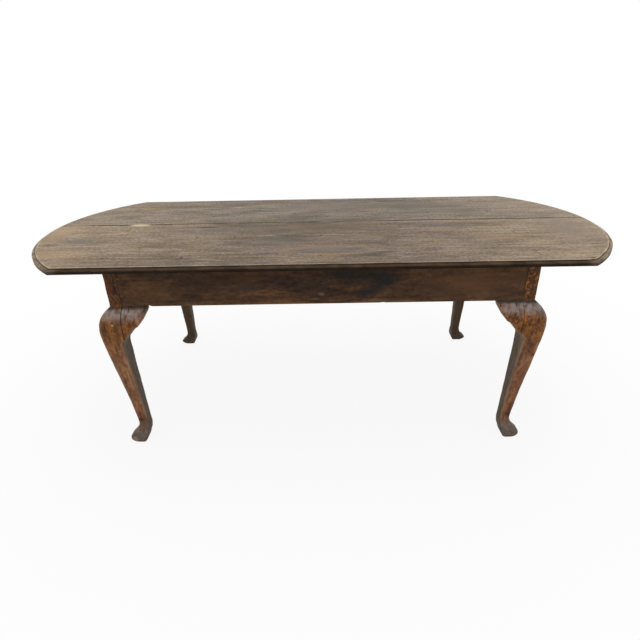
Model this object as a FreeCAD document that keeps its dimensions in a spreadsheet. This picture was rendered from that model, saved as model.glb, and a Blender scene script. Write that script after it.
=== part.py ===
import FreeCAD, Part
import math
import os
import Sketcher

# A country dining table with bowed ends, a pegged frame and square cut cabriole legs.
# X runs along the table, Y from the front to the back, Z up. The origin is on the floor,
# under the middle of the top.

Vector = FreeCAD.Vector
Rotation = FreeCAD.Rotation
UP = Vector(0, 0, 1)
ALONG = Vector(1, 0, 0)
ACROSS = Vector(0, 1, 0)
# The upright plane that swaps the two sides of a corner
CORNER_MIRROR = Vector(1, -1, 0)

doc = FreeCAD.newDocument("farmhouse_table")

# Driving sizes, in millimetres
SIZES = [
    ("table_height", 760, "floor to the top's upper face"),
    ("top_length", 2194, "over the bowed ends"),
    ("end_bow", 222, "how far each end bows out"),
    ("top_width", 968, "over the long edges"),
    ("top_thickness", 19, "both boards"),
    ("board_joint_offset", 40, "the boards' joint, behind the middle"),
    ("board_joint_gap", 0.6, "shrinkage between the two boards"),
    ("moulding_width", 13, "sloping edge, seen from above"),
    ("moulding_drop", 5.5, "fall of the sloping edge"),
    ("quirk_height", 1.5, "small step above the slope"),
    ("loose_tenon_length", 90, "along the joint"),
    ("loose_tenon_width", 50, "across the joint"),
    ("loose_tenon_thickness", 6, "in the middle of the boards"),
    ("loose_tenon_spacing", 330, "from one to the next"),
    ("end_overhang", 357, "middle of a bowed end beyond the posts"),
    ("side_overhang", 82, "long edges beyond the posts"),
    ("post_width", 43, "square post"),
    ("post_arris", 2.5, "rounding of the post's corners"),
    ("apron_height", 153, "long and end aprons"),
    ("apron_thickness", 22, "long and end aprons"),
    ("apron_setback", 2, "behind the post's face"),
    ("tenon_thickness", 9, "apron tenons"),
    ("tenon_shoulder", 20, "above and below each tenon"),
    ("joint_clearance", 0.2, "round each tenon"),
    ("mortise_end_gap", 0.5, "beyond each tenon's end"),
    ("mortise_web", 0.8, "wood left between two mortises, and between crossing pegs"),
    ("tenon_peg_diameter", 8, "across the corners"),
    ("tenon_peg_proud", 0.8, "head beyond the post's face"),
    ("tenon_peg_spacing", 62, "two pegs in a tenon"),
    ("peg_clearance", 0.15, "round each peg and nail"),
    ("bearer_inset", 272, "outer bearers' middle, from the posts' outer faces"),
    ("bearer_width", 58, "along the table"),
    ("bearer_depth", 34, "under the top"),
    ("bearer_lap_depth", 17, "dovetailed end"),
    ("bearer_lap_cover", 5, "apron left in front of the lap"),
    ("bearer_lap_waist", 42, "lap at the apron's inner face"),
    ("bearer_lap_end", 54, "lap at its end"),
    ("top_peg_diameter", 9, "across the corners"),
    ("top_peg_inset", 0.3, "head below the top's face"),
    ("top_peg_cover", 6, "bearer left under each peg"),
    ("top_peg_row", 314, "inner pegs, centre to centre across"),
    ("post_peg_gap", 2.7, "between a post's top peg and the tenons"),
    ("corner_block_reach", 62, "glued length along each apron"),
    ("corner_block_height", 110, "under the top"),
    ("knee_reach", 39, "knee beyond the post's face"),
    ("knee_drop", 88, "widest point below the apron"),
    ("ankle_height", 80, "narrowest point above the floor"),
    ("ankle_width", 39.5, "square ankle"),
    ("ankle_inset", 3, "ankle behind the post's face"),
    ("calf_inset", 34.5, "inner face under the knee, from the post's face"),
    ("calf_rise", 36, "the leg's inner curve out to the ear's end"),
    ("toe_reach", 36, "foot beyond the post's face"),
    ("heel_inset", 25.5, "foot's inner edge, from the post's face"),
    ("leg_arris", 5, "rounding of the leg's corners"),
    ("toe_round", 34, "foot's outer corner"),
    ("toe_side_round", 9, "foot's side corners"),
    ("ear_length", 88, "beside the post"),
    ("ear_tail", 24, "ear's end below the knee's widest point"),
    ("ear_nail_diameter", 2.6, "shank"),
    ("ear_nail_length", 40, "under the head"),
    ("ear_nail_head", 6.5, "across the head"),
    ("ear_nail_head_height", 1.6, "thickness of the head"),
    ("ear_nail_angle", 33, "rise into the apron, in degrees"),
    ("overrun", 5, "how far a cutter passes a face"),
]

sheet = doc.addObject("Spreadsheet::Sheet", "Sizes")
for row, (alias, value, note) in enumerate(SIZES, start=1):
    sheet.set("A%d" % row, alias)
    sheet.set("B%d" % row, str(value))
    sheet.set("C%d" % row, note)
    sheet.setAlias("B%d" % row, alias)
doc.recompute()

# Ear nails: shares of the ear's length, and where their heads lie on the knee's swell, as
# shares of its height and reach
EAR_NAIL_SHARES = (0.28, 0.9)
NAIL_DROP_SHARE = 0.15
NAIL_OUT_SHARE = 0.43

# Lengths and places worked out from the driving sizes. Each may name those above it
SUMS = [
    ("frame_length", "<top_length> - 2 * <end_overhang>"),
    ("frame_width", "<top_width> - 2 * <side_overhang>"),
    ("long_clear", "<frame_length> - 2 * <post_width>"),
    ("end_clear", "<frame_width> - 2 * <post_width>"),
    ("top_underside", "<table_height> - <top_thickness>"),
    ("edge_height", "<top_thickness> - <moulding_drop> - <quirk_height>"),
    ("end_radius", "((<top_width> / 2)^2 + <end_bow>^2) / (2 * <end_bow>)"),
    ("end_centre", "<top_length> / 2 - <end_radius>"),
    ("joint_front", "<board_joint_offset> - <board_joint_gap> / 2"),
    ("joint_back", "<board_joint_offset> + <board_joint_gap> / 2"),
    ("apron_bottom", "<top_underside> - <apron_height>"),
    ("apron_back", "<apron_setback> + <apron_thickness>"),
    ("apron_middle", "<apron_setback> + <apron_thickness> / 2"),
    ("tenon_front", "<apron_middle> - <tenon_thickness> / 2"),
    ("tenon_height", "<apron_height> - 2 * <tenon_shoulder>"),
    ("mortise_end", "<tenon_front> + <tenon_thickness> + <joint_clearance> + <mortise_web>"),
    ("tenon_length", "<post_width> - <mortise_end> - <mortise_end_gap>"),
    ("tenon_middle", "<post_width> - <tenon_length> / 2"),
    ("tenon_peg_hole", "<tenon_peg_diameter> + 2 * <peg_clearance>"),
    ("tenon_peg_length", "<tenon_peg_proud> + <tenon_middle> - <tenon_peg_hole> / 2 - <mortise_web>"),
    ("bearer_spacing", "<frame_length> / 2 - <bearer_inset>"),
    ("bearer_clear", "<frame_width> - 2 * <apron_back>"),
    ("top_peg_hole", "<top_peg_diameter> + 2 * <peg_clearance>"),
    ("top_peg_top", "<table_height> - <top_peg_inset>"),
    ("top_peg_length", "<top_thickness> - <top_peg_inset> + <bearer_depth> - <top_peg_cover>"),
    ("post_peg_length", "<top_thickness> - <top_peg_inset> + <tenon_shoulder> - <post_peg_gap>"),
    ("ear_height", "<knee_drop> + <ear_tail>"),
    ("knee_base", "<apron_bottom> - <knee_drop>"),
    ("ear_low", "<apron_bottom> - <ear_height>"),
    ("calf_height", "<ear_low> - <calf_rise>"),
    ("ankle_back", "<ankle_inset> + <ankle_width>"),
    ("nail_hole", "<ear_nail_diameter> + 2 * <peg_clearance>"),
    ("nail_bore", "<ear_nail_length> + <peg_clearance>"),
    ("nail_drop", "%s * <knee_drop>" % NAIL_DROP_SHARE),
    ("nail_out", "%s * <knee_reach>" % NAIL_OUT_SHARE),
]


def cell(text):
    """An expression on the sheet, from a sum written in the names of sizes."""
    for name, total in reversed(SUMS):
        text = text.replace("<" + name + ">", "(" + total + ")")
    for alias, _, _ in SIZES:
        text = text.replace("<" + alias + ">", "Sizes." + alias)
    return text


def size(name):
    """A driving size, or a sum of them, as a number."""
    return float(sheet.evalExpression(cell("<" + name + ">")))


def bind(thing, **sums):
    """Tie a thing's properties to the sheet."""
    for name, text in sums.items():
        thing.setExpression(name, cell(text))
    return thing


def place(thing, x="", y="", z=""):
    """Tie a thing's place to the sheet."""
    for axis, text in (("x", x), ("y", y), ("z", z)):
        if text:
            thing.setExpression("Placement.Base." + axis, cell(text))
    return thing


def turned(thing, axis, angle):
    """Turn a thing about its own origin."""
    thing.Placement = FreeCAD.Placement(Vector(), Rotation(axis, angle))
    return thing


def box(name, length, width, height, x="", y="", z=""):
    block = bind(doc.addObject("Part::Box", name), Length=length, Width=width, Height=height)
    return place(block, x, y, z)


def hole(name, diameter, depth, axis, angle, x="", y="", z=""):
    """A round cutter, turned from upright about an axis."""
    drill = bind(doc.addObject("Part::Cylinder", name), Radius=diameter + " / 2", Height=depth)
    return place(turned(drill, axis, angle), x, y, z)


def peg(name, diameter, length, axis, angle, x="", y="", z=""):
    """A whittled peg with eight flats."""
    whittled = bind(doc.addObject("Part::Prism", name), Circumradius=diameter + " / 2", Height=length)
    whittled.Polygon = 8
    return place(turned(whittled, axis, angle), x, y, z)


def solid(name, shape):
    """A shape that is worked out point by point."""
    feature = doc.addObject("Part::Feature", name)
    feature.Shape = shape
    return feature


def join(name, pieces):
    fused = doc.addObject("Part::MultiFuse", name)
    fused.Shapes = pieces
    return fused


def group(name, pieces):
    """Several separate solids under one name."""
    together = doc.addObject("Part::Compound", name)
    together.Links = pieces
    return together


def cut(name, base, tools):
    result = doc.addObject("Part::Cut", name)
    result.Base = base
    result.Tool = group(name + "_cutters", tools)
    return result


def common(name, base, tool):
    result = doc.addObject("Part::Common", name)
    result.Base = base
    result.Tool = tool
    return result


def mirrored(name, source):
    """The same piece for the other side of its corner."""
    image = doc.addObject("Part::Mirroring", name)
    image.Source = source
    image.Normal = CORNER_MIRROR
    return image


def rectangle(body, role, name, width, height, x, y="0"):
    """A rectangle on one of a body's own planes, its low corner at x, y."""
    plane = next(item for item in body.Origin.OriginFeatures if item.Role == role)
    sketch = body.newObject("Sketcher::SketchObject", name)
    sketch.AttachmentSupport = (plane, "")
    sketch.MapMode = "FlatFace"
    corners = [Vector(0, 0), Vector(1, 0), Vector(1, 1), Vector(0, 1)]
    for index, corner in enumerate(corners):
        sketch.addGeometry(Part.LineSegment(corner, corners[(index + 1) % 4]), False)
    for index in range(4):
        sketch.addConstraint(Sketcher.Constraint("Coincident", index, 2, (index + 1) % 4, 1))
    for index in (0, 2):
        sketch.addConstraint(Sketcher.Constraint("Horizontal", index))
        sketch.addConstraint(Sketcher.Constraint("Vertical", index + 1))
    for label, kind, ends, text in (
        ("across", "DistanceX", (0, 1, 0, 2), width),
        ("up", "DistanceY", (1, 1, 1, 2), height),
        ("from_left", "DistanceX", (-1, 1, 0, 1), x),
        ("from_below", "DistanceY", (-1, 1, 0, 1), y),
    ):
        number = sketch.addConstraint(Sketcher.Constraint(kind, *ends, 0))
        sketch.renameConstraint(number, label)
        sketch.setExpression("Constraints." + label, cell(text))
    return sketch


def pad(body, name, sketch, length):
    feature = body.newObject("PartDesign::Pad", name)
    feature.Profile = sketch
    feature.setExpression("Length", cell(length))
    return feature


# The four corners of the frame. A corner's own pieces are made once, for the front left
# corner, with the post's outer corner at the origin, and then turned into their places.
CORNERS = [
    ("front_left", 0, "-<frame_length> / 2", "-<frame_width> / 2"),
    ("front_right", 90, "<frame_length> / 2", "-<frame_width> / 2"),
    ("rear_right", 180, "<frame_length> / 2", "<frame_width> / 2"),
    ("rear_left", 270, "-<frame_length> / 2", "<frame_width> / 2"),
]

parts = []


def finished(piece, label, angle=0, x="", y="", z=""):
    """Give a finished piece its name and its place in the table."""
    piece.Label = label
    if angle:
        turned(piece, UP, angle)
    place(piece, x, y, z)
    parts.append(piece)


# Top: a slab with bowed ends and a moulded edge, sawn into two boards
def top_outline(name, inset, height):
    """Two straight edges and two bowed ends, drawn smaller all round by an inset."""
    radius = size("end_radius")
    centre = size("end_centre")
    half_width = size("top_width") / 2
    half_angle = math.asin(half_width / radius)
    corner = centre + radius * math.cos(half_angle)
    sketch = doc.addObject("Sketcher::SketchObject", name)
    sketch.addGeometry(Part.LineSegment(Vector(-corner, -half_width), Vector(corner, -half_width)), False)
    right = Part.Circle(Vector(centre, 0), UP, radius)
    sketch.addGeometry(Part.ArcOfCircle(right, -half_angle, half_angle), False)
    sketch.addGeometry(Part.LineSegment(Vector(corner, half_width), Vector(-corner, half_width)), False)
    left = Part.Circle(Vector(-centre, 0), UP, radius)
    sketch.addGeometry(Part.ArcOfCircle(left, math.pi - half_angle, math.pi + half_angle), False)
    for index in range(4):
        sketch.addConstraint(Sketcher.Constraint("Coincident", index, 2, (index + 1) % 4, 1))
    sketch.addConstraint(Sketcher.Constraint("Horizontal", 0))
    sketch.addConstraint(Sketcher.Constraint("Horizontal", 2))
    sketch.addConstraint(Sketcher.Constraint("PointOnObject", 1, 3, -1))
    sketch.addConstraint(Sketcher.Constraint("Symmetric", 1, 3, 3, 3, -1, 1))
    sketch.addConstraint(Sketcher.Constraint("Equal", 1, 3))
    for label, kind, ends, start, text in (
        ("bow_centre", "DistanceX", (-1, 1, 1, 3), centre, "<end_centre>"),
        ("bow_radius", "Radius", (1,), radius, "<end_radius> - " + inset),
        ("front_edge", "DistanceY", (0, 1, -1, 1), half_width, "<top_width> / 2 - " + inset),
        ("back_edge", "DistanceY", (-1, 1, 2, 1), half_width, "<top_width> / 2 - " + inset),
    ):
        number = sketch.addConstraint(Sketcher.Constraint(kind, *ends, start))
        sketch.renameConstraint(number, label)
        sketch.setExpression("Constraints." + label, cell(text))
    return place(sketch, z=height)


def slab(name, outline, thickness):
    layer = doc.addObject("Part::Extrusion", name)
    layer.Base = outline
    layer.DirMode = "Normal"
    layer.Solid = True
    return bind(layer, LengthFwd=thickness)


slope = doc.addObject("Part::Loft", "moulded_slope")
slope.Sections = [
    top_outline("brim_outline", "0", "<top_underside> + <edge_height>"),
    top_outline("slope_outline", "<moulding_width>", "<table_height> - <quirk_height>"),
]
slope.Solid = True
slope.Ruled = True
top_slab = join("top_slab", [
    slab("lower_slab", top_outline("lower_outline", "0", "<top_underside>"), "<edge_height>"),
    slope,
    slab(
        "upper_slab", top_outline("upper_outline", "<moulding_width>", "<table_height> - <quirk_height>"),
        "<quirk_height>"),
])

BEARER_PLACES = [("left", -1), ("middle", 0), ("right", 1)]
PEG_ROWS = [
    "-(<frame_width> / 2 - <apron_middle>)",
    "-<top_peg_row> / 2",
    "<top_peg_row> / 2",
    "<frame_width> / 2 - <apron_middle>",
]

# Every peg through the top: group, then x, y and length
top_pegs = []
for side, step in BEARER_PLACES:
    for y in PEG_ROWS:
        top_pegs.append(("top_pegs_bearer_" + side, "%d * <bearer_spacing>" % step, y, "<top_peg_length>"))
for side, sign in (("left", "-"), ("right", "")):
    for y in PEG_ROWS[1:3]:
        x = sign + "(<frame_length> / 2 - <apron_middle>)"
        top_pegs.append(("top_pegs_end_" + side, x, y, "<top_peg_length>"))
for sign_x in ("-", ""):
    for sign_y in ("-", ""):
        x = sign_x + "(<frame_length> / 2 - <post_width> / 2)"
        y = sign_y + "(<frame_width> / 2 - <post_width> / 2)"
        top_pegs.append(("top_pegs_posts", x, y, "<post_peg_length>"))

peg_groups = {}
peg_holes = []
for number, (label, x, y, length) in enumerate(top_pegs):
    z = "<top_peg_top> - " + length
    driven = peg("top_peg_%d" % number, "<top_peg_diameter>", length, UP, 0, x, y, z)
    peg_groups.setdefault(label, []).append(driven)
    bore = length + " + <overrun>"
    peg_holes.append(hole("top_peg_hole_%d" % number, "<top_peg_hole>", bore, UP, 0, x, y, z))

LOOSE_TENON_STEPS = (-2, -1, 0, 1, 2)
loose_tenons = []
loose_mortises = []
for number, step in enumerate(LOOSE_TENON_STEPS):
    x = "%d * <loose_tenon_spacing> - <loose_tenon_length> / 2" % step
    y = "<board_joint_offset> - <loose_tenon_width> / 2"
    z = "<top_underside> + (<top_thickness> - <loose_tenon_thickness>) / 2"
    loose_tenons.append(box(
        "loose_tenon_%d" % number, "<loose_tenon_length>", "<loose_tenon_width>", "<loose_tenon_thickness>",
        x, y, z))
    loose_mortises.append(box(
        "loose_mortise_%d" % number, "<loose_tenon_length> + 2 * <joint_clearance>",
        "<loose_tenon_width> + 2 * <joint_clearance>", "<loose_tenon_thickness> + 2 * <joint_clearance>",
        x + " - <joint_clearance>", y + " - <joint_clearance>", z + " - <joint_clearance>"))

for side, width, y in (
    ("front", "<top_width> / 2 + <overrun> + <joint_front>", "-<top_width> / 2 - <overrun>"),
    ("rear", "<top_width> / 2 + <overrun> - <joint_back>", "<joint_back>"),
):
    half = box(
        "half_" + side, "<top_length> + 2 * <overrun>", width, "<top_thickness> + 2 * <overrun>",
        "-<top_length> / 2 - <overrun>", y, "<top_underside> - <overrun>")
    sawn = common("sawn_board_" + side, top_slab, half)
    finished(cut("bored_board_" + side, sawn, peg_holes + loose_mortises), "top_board_" + side)
finished(group("loose_tenon_set", loose_tenons), "top_loose_tenons")
for label, pegs in peg_groups.items():
    finished(group(label + "_set", pegs), label)


# Frame: every apron ends in pegged tenons, and the long ones carry the dovetailed bearers
def dovetail(name, height):
    """The dovetailed lap at a bearer's end, as a prism behind the apron's front face."""
    front = size("bearer_lap_cover")
    back = size("apron_thickness")
    half_end = size("bearer_lap_end") / 2
    half_waist = size("bearer_lap_waist") / 2
    corners = [
        Vector(-half_end, front),
        Vector(half_end, front),
        Vector(half_waist, back),
        Vector(-half_waist, back),
    ]
    face = Part.Face(Part.makePolygon(corners + corners[:1]))
    return solid(name, face.extrude(UP * height))


def apron_cutters(name, length, peg_places):
    """The holes that every apron has, its front face on the XZ plane and its foot on XY."""
    cutters = []
    nail_turn = size("ear_nail_angle") - 90
    for sign in ("-", ""):
        for level in ("-", ""):
            cutters.append(hole(
                name + "_peg_hole_%d" % len(cutters), "<tenon_peg_hole>", "<apron_thickness>", ALONG, -90,
                sign + "(" + length + " / 2 + <tenon_length> / 2)", "",
                "<apron_height> / 2 + " + level + "<tenon_peg_spacing> / 2"))
        for share in EAR_NAIL_SHARES:
            cutters.append(hole(
                name + "_nail_hole_%d" % len(cutters), "<nail_hole>", "<nail_bore>", ALONG, nail_turn,
                sign + "(" + length + " / 2 - %s * <ear_length>)" % share,
                "-<nail_out> - <apron_setback>", "-<nail_drop>"))
    for x in peg_places:
        cutters.append(hole(
            name + "_top_peg_hole_%d" % len(cutters), "<top_peg_hole>", "<apron_height>", UP, 0, x,
            "<apron_thickness> / 2", "<top_peg_top> - <top_peg_length> - <apron_bottom>"))
    return cutters


def apron_board(name, length):
    """A board on edge with a tenon at each end."""
    body = doc.addObject("PartDesign::Body", name + "_body")
    board = rectangle(body, "XZ_Plane", name + "_board", length, "<apron_height>", "-" + length + " / 2")
    pad(body, name + "_board_pad", board, "<apron_thickness>").Reversed = True
    whole = "(" + length + " + 2 * <tenon_length>)"
    tenons = rectangle(
        body, "XY_Plane", name + "_tenons", whole, "<tenon_thickness>", "-" + whole + " / 2",
        "<tenon_front> - <apron_setback>")
    tenons.setExpression("AttachmentOffset.Base.z", cell("<tenon_shoulder>"))
    pad(body, name + "_tenon_pad", tenons, "<tenon_height>")
    return body


lap_places = ["%d * <bearer_spacing>" % step for _, step in BEARER_PLACES]
socket_height = size("bearer_lap_depth") + size("overrun")
for side, angle, sign in (("front", 0, "-"), ("rear", 180, "")):
    cutters = apron_cutters("apron_" + side, "<long_clear>", lap_places)
    for x in lap_places:
        socket = dovetail("socket_%s_%d" % (side, len(cutters)), socket_height)
        cutters.append(place(socket, x, "", "<apron_height> - <bearer_lap_depth>"))
    finished(
        cut("bored_apron_" + side, apron_board("apron_" + side, "<long_clear>"), cutters), "apron_" + side,
        angle, "", sign + "(<frame_width> / 2 - <apron_setback>)", "<apron_bottom>")
for side, angle, sign in (("left", 270, "-"), ("right", 90, "")):
    cutters = apron_cutters("apron_" + side, "<end_clear>", PEG_ROWS[1:3])
    finished(
        cut("bored_apron_" + side, apron_board("apron_" + side, "<end_clear>"), cutters), "apron_" + side,
        angle, sign + "(<frame_length> / 2 - <apron_setback>)", "", "<apron_bottom>")

# Cross bearers: the bar runs between the long aprons and a dovetailed lap drops into each
for side, step in BEARER_PLACES:
    x = "%d * <bearer_spacing>" % step
    pieces = [box(
        "bearer_bar_" + side, "<bearer_width>", "<bearer_clear>", "<bearer_depth>",
        x + " - <bearer_width> / 2", "-<bearer_clear> / 2", "<top_underside> - <bearer_depth>")]
    for end, angle, sign in (("front", 0, "-"), ("rear", 180, "")):
        lap = turned(dovetail("bearer_lap_%s_%s" % (side, end), size("bearer_lap_depth")), UP, angle)
        y = sign + "(<frame_width> / 2 - <apron_setback>)"
        pieces.append(place(lap, x, y, "<top_underside> - <bearer_lap_depth>"))
    bores = []
    for number, y in enumerate(PEG_ROWS):
        bores.append(hole(
            "bearer_hole_%s_%d" % (side, number), "<top_peg_hole>", "<top_peg_length>", UP, 0, x, y,
            "<top_peg_top> - <top_peg_length>"))
    finished(cut("bored_bearer_" + side, join("bearer_whole_" + side, pieces), bores), "bearer_" + side)

# Legs: each station is a square section, given by how far it stands out from the post's two
# outer faces and how far its inner faces lie behind them. The shares follow the named sizes.
# Sole and toe: height of the ankle, reach from ankle to toe, fall from ankle to heel, rounding
SOLE_SHARES = [
    (0.0, 0.57, 1.0, 0.57),
    (0.06, 0.735, 0.83, 0.73),
    (0.15, 0.91, 0.58, 0.94),
]
# Foot: the same, from the toe's upper edge to the ankle
FOOT_SHARES = [
    (0.15, 0.91, 0.58, 0.94),
    (0.25, 0.98, 0.42, 1.0),
    (0.35, 0.77, 0.3, 0.76),
    (0.475, 0.5, 0.1, 0.5),
    (0.64, 0.25, 0.0, 0.23),
    (0.8, 0.08, -0.05, 0.05),
    (1.0, 0.0, 0.0, 0.0),
]
# Shank: height from ankle to calf, reach from ankle to knee, fall from ankle to calf
SHANK_SHARES = [
    (0.0, 0.0, 0.0),
    (0.195, 0.125, 0.2),
    (0.473, 0.367, 0.52),
    (0.75, 0.65, 0.82),
    (1.0, 0.885, 1.0),
]
# Ear seat: height from the calf to the ear's end, reach as above, way from the calf to the post
SEAT_SHARES = [
    (0.0, 0.885, 0.0),
    (0.42, 0.917, 0.12),
    (0.78, 0.945, 0.6),
    (1.0, 0.96, 1.0),
]
# Knee: height from its widest point to the apron, reach left, rounding left
KNEE_SHARES = [
    (0.0, 1.0, 1.0),
    (0.227, 0.985, 1.0),
    (0.455, 0.915, 1.0),
    (0.682, 0.72, 1.0),
    (0.85, 0.43, 1.0),
    (1.0, 0.0, 0.0),
]


def section(height, out, back, outer_round, side_round, inner_round):
    """A square section with its four corners rounded."""
    turns = [
        (Vector(back, -out), (-1, 1), side_round, 270),
        (Vector(back, back), (-1, -1), inner_round, 0),
        (Vector(-out, back), (1, -1), side_round, 90),
        (Vector(-out, -out), (1, 1), outer_round, 180),
    ]
    arcs = []
    for corner, inward, radius, start in turns:
        centre = Vector(corner.x + inward[0] * radius, corner.y + inward[1] * radius, height)
        arcs.append(Part.makeCircle(radius, centre, UP, start, start + 90))
    edges = []
    previous = arcs[-1].Vertexes[-1].Point
    for arc in arcs:
        edges.append(Part.makeLine(previous, arc.Vertexes[0].Point))
        edges.append(arc)
        previous = arc.Vertexes[-1].Point
    return Part.Wire(edges)


def between(low, high, share):
    return low + share * (high - low)


def foot_station(up, out, heel, rounding):
    """Height, reach, inner face and roundings of a section of the foot."""
    arris = size("leg_arris")
    return (
        up * size("ankle_height"),
        between(-size("ankle_inset"), size("toe_reach"), out),
        between(size("ankle_back"), size("heel_inset"), heel),
        between(arris, size("toe_round"), rounding),
        between(arris, size("toe_side_round"), rounding),
        arris,
    )


def shank_station(up, out, fall):
    arris = size("leg_arris")
    return (
        between(size("ankle_height"), size("calf_height"), up),
        between(-size("ankle_inset"), size("knee_reach"), out),
        between(size("ankle_back"), size("calf_inset"), fall),
        arris, arris, arris,
    )


def seat_station(up, out, way):
    arris = size("leg_arris")
    return (
        between(size("calf_height"), size("ear_low"), up),
        between(-size("ankle_inset"), size("knee_reach"), out),
        between(size("calf_inset"), size("post_width"), way),
        arris, arris, arris,
    )


def knee_station(up, out, rounding):
    arris = between(size("post_arris"), size("leg_arris"), rounding)
    return (
        between(size("knee_base"), size("apron_bottom"), up),
        out * size("knee_reach"),
        size("post_width"),
        arris, arris, arris,
    )


foot = [foot_station(*shares) for shares in FOOT_SHARES]
shank = [shank_station(*shares) for shares in SHANK_SHARES]
knee = [knee_station(*shares) for shares in KNEE_SHARES]
seat = [seat_station(*shares) for shares in SEAT_SHARES] + knee[:1]


def leg_run(stations, straight=False):
    """A length of the leg through its sections, straight or smooth between them."""
    return Part.makeLoft([section(*station) for station in stations], True, straight)


sole = leg_run([foot_station(*shares) for shares in SOLE_SHARES], straight=True)
post = Part.Face(section(*knee[-1])).extrude(UP * size("apron_height"))
leg_runs = [leg_run(foot), leg_run(shank), leg_run(seat, straight=True), leg_run(knee), post]
blank = solid("leg_blank", sole.multiFuse(leg_runs).removeSplitter())

leg_cutters = [hole(
    "post_peg_hole", "<top_peg_hole>", "<post_peg_length>", UP, 0, "<post_width> / 2", "<post_width> / 2",
    "<top_peg_top> - <post_peg_length>")]
corner_pegs = []
mortise_across = "<tenon_thickness> + 2 * <joint_clearance>"
mortise_along = "<post_width> - <mortise_end> + <overrun>"
for way, axis, angle, mortise, mortise_x, mortise_y, peg_x, peg_y in (
    ("long", ALONG, -90, (mortise_along, mortise_across), "<mortise_end>",
     "<tenon_front> - <joint_clearance>", "<tenon_middle>", "-<tenon_peg_proud>"),
    ("end", ACROSS, 90, (mortise_across, mortise_along), "<tenon_front> - <joint_clearance>",
     "<mortise_end>", "-<tenon_peg_proud>", "<tenon_middle>"),
):
    leg_cutters.append(box(
        way + "_mortise", mortise[0], mortise[1], "<tenon_height> + 2 * <joint_clearance>", mortise_x,
        mortise_y, "<apron_bottom> + <tenon_shoulder> - <joint_clearance>"))
    for level, sign in (("low", "-"), ("high", "")):
        z = "<apron_bottom> + <apron_height> / 2 + " + sign + "<tenon_peg_spacing> / 2"
        corner_pegs.append(peg(
            "tenon_peg_%s_%s" % (way, level), "<tenon_peg_diameter>", "<tenon_peg_length>", axis, angle,
            peg_x, peg_y, z))
        leg_cutters.append(hole(
            "tenon_peg_hole_%s_%s" % (way, level), "<tenon_peg_hole>", "<tenon_peg_length>", axis, angle,
            peg_x, peg_y, z))

# Knee ears: the long ear follows the knee's swell along the long apron, and its mirror image
# stands under the end apron. Outline shares: distance from the post, drop below the apron
EAR_TIP_SHARES = [
    (1.0, 0.098), (0.93, 0.21), (0.84, 0.31), (0.75, 0.41), (0.65, 0.51), (0.54, 0.607), (0.45, 0.68),
    (0.307, 0.75),
]
EAR_TAIL_SHARES = [(0.307, 0.75), (0.23, 0.82), (0.15, 0.89), (0.07, 0.955), (0.0, 1.0)]


def curve(points):
    """One smooth edge through a few points."""
    spline = Part.BSplineCurve()
    spline.interpolate(points)
    return spline.toShape()


def ear_point(share):
    """A point of the ear's outline, seen from in front of the apron."""
    return Vector(
        size("post_width") + share[0] * size("ear_length"), 0,
        size("apron_bottom") - share[1] * size("ear_height"))


def ear_blank():
    """The block between the post and the ear's tip, its front shaped like the knee."""
    top_inner = ear_point((0.0, 0.0))
    top_outer = ear_point((1.0, 0.0))
    tip = [ear_point(share) for share in EAR_TIP_SHARES]
    tail = [ear_point(share) for share in EAR_TAIL_SHARES]
    outline = Part.Face(Part.Wire([
        Part.makeLine(top_inner, top_outer),
        Part.makeLine(top_outer, tip[0]),
        curve(tip),
        curve(tail),
        Part.makeLine(tail[-1], top_inner),
    ]))
    back = size("apron_back")
    reach = size("knee_reach") + size("overrun")
    silhouette = outline.extrude(Vector(0, reach + back, 0))
    silhouette.translate(Vector(0, -reach, 0))
    swell = [Vector(0, -station[1], station[0]) for station in seat]
    shoulder = [Vector(0, -station[1], station[0]) for station in knee]
    profile = Part.Face(Part.Wire([
        curve(swell),
        curve(shoulder),
        Part.makeLine(shoulder[-1], Vector(0, back, shoulder[-1].z)),
        Part.makeLine(Vector(0, back, shoulder[-1].z), Vector(0, back, swell[0].z)),
        Part.makeLine(Vector(0, back, swell[0].z), swell[0]),
    ]))
    block = profile.extrude(ALONG * (size("post_width") + size("ear_length") + size("overrun")))
    return silhouette.common(block)


ear = solid("ear_blank", ear_blank())
ear_nails = []
ear_bores = []
for number, share in enumerate(EAR_NAIL_SHARES):
    spot = (
        ALONG, size("ear_nail_angle") - 90, "<post_width> + %s * <ear_length>" % share, "-<nail_out>",
        "<apron_bottom> - <nail_drop>")
    ear_nails.append(join("ear_nail_%d" % number, [
        hole("nail_shank_%d" % number, "<ear_nail_diameter>", "<ear_nail_length>", *spot),
        hole("nail_head_%d" % number, "<ear_nail_head>", "<ear_nail_head_height>", *spot),
    ]))
    ear_bores.append(hole("nail_hole_%d" % number, "<nail_hole>", "<nail_bore>", *spot))
    ear_bores.append(hole(
        "nail_recess_%d" % number, "(<ear_nail_head> + 2 * <peg_clearance>)", "<ear_nail_head_height>",
        *spot))
bored_ear = cut("bored_ear", ear, ear_bores)
other_ear_nails = [mirrored("other_ear_nail_%d" % number, nail) for number, nail in enumerate(ear_nails)]

# Corner blocks, glued behind the post to both aprons
block_near = size("apron_back")
block_post = size("post_width")
block_far = block_post + size("corner_block_reach")
block_corners = [
    Vector(block_post, block_near),
    Vector(block_far, block_near),
    Vector(block_near, block_far),
    Vector(block_near, block_post),
    Vector(block_post, block_post),
]
block_face = Part.Face(Part.makePolygon(block_corners + block_corners[:1]))
block = block_face.extrude(UP * size("corner_block_height"))

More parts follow.
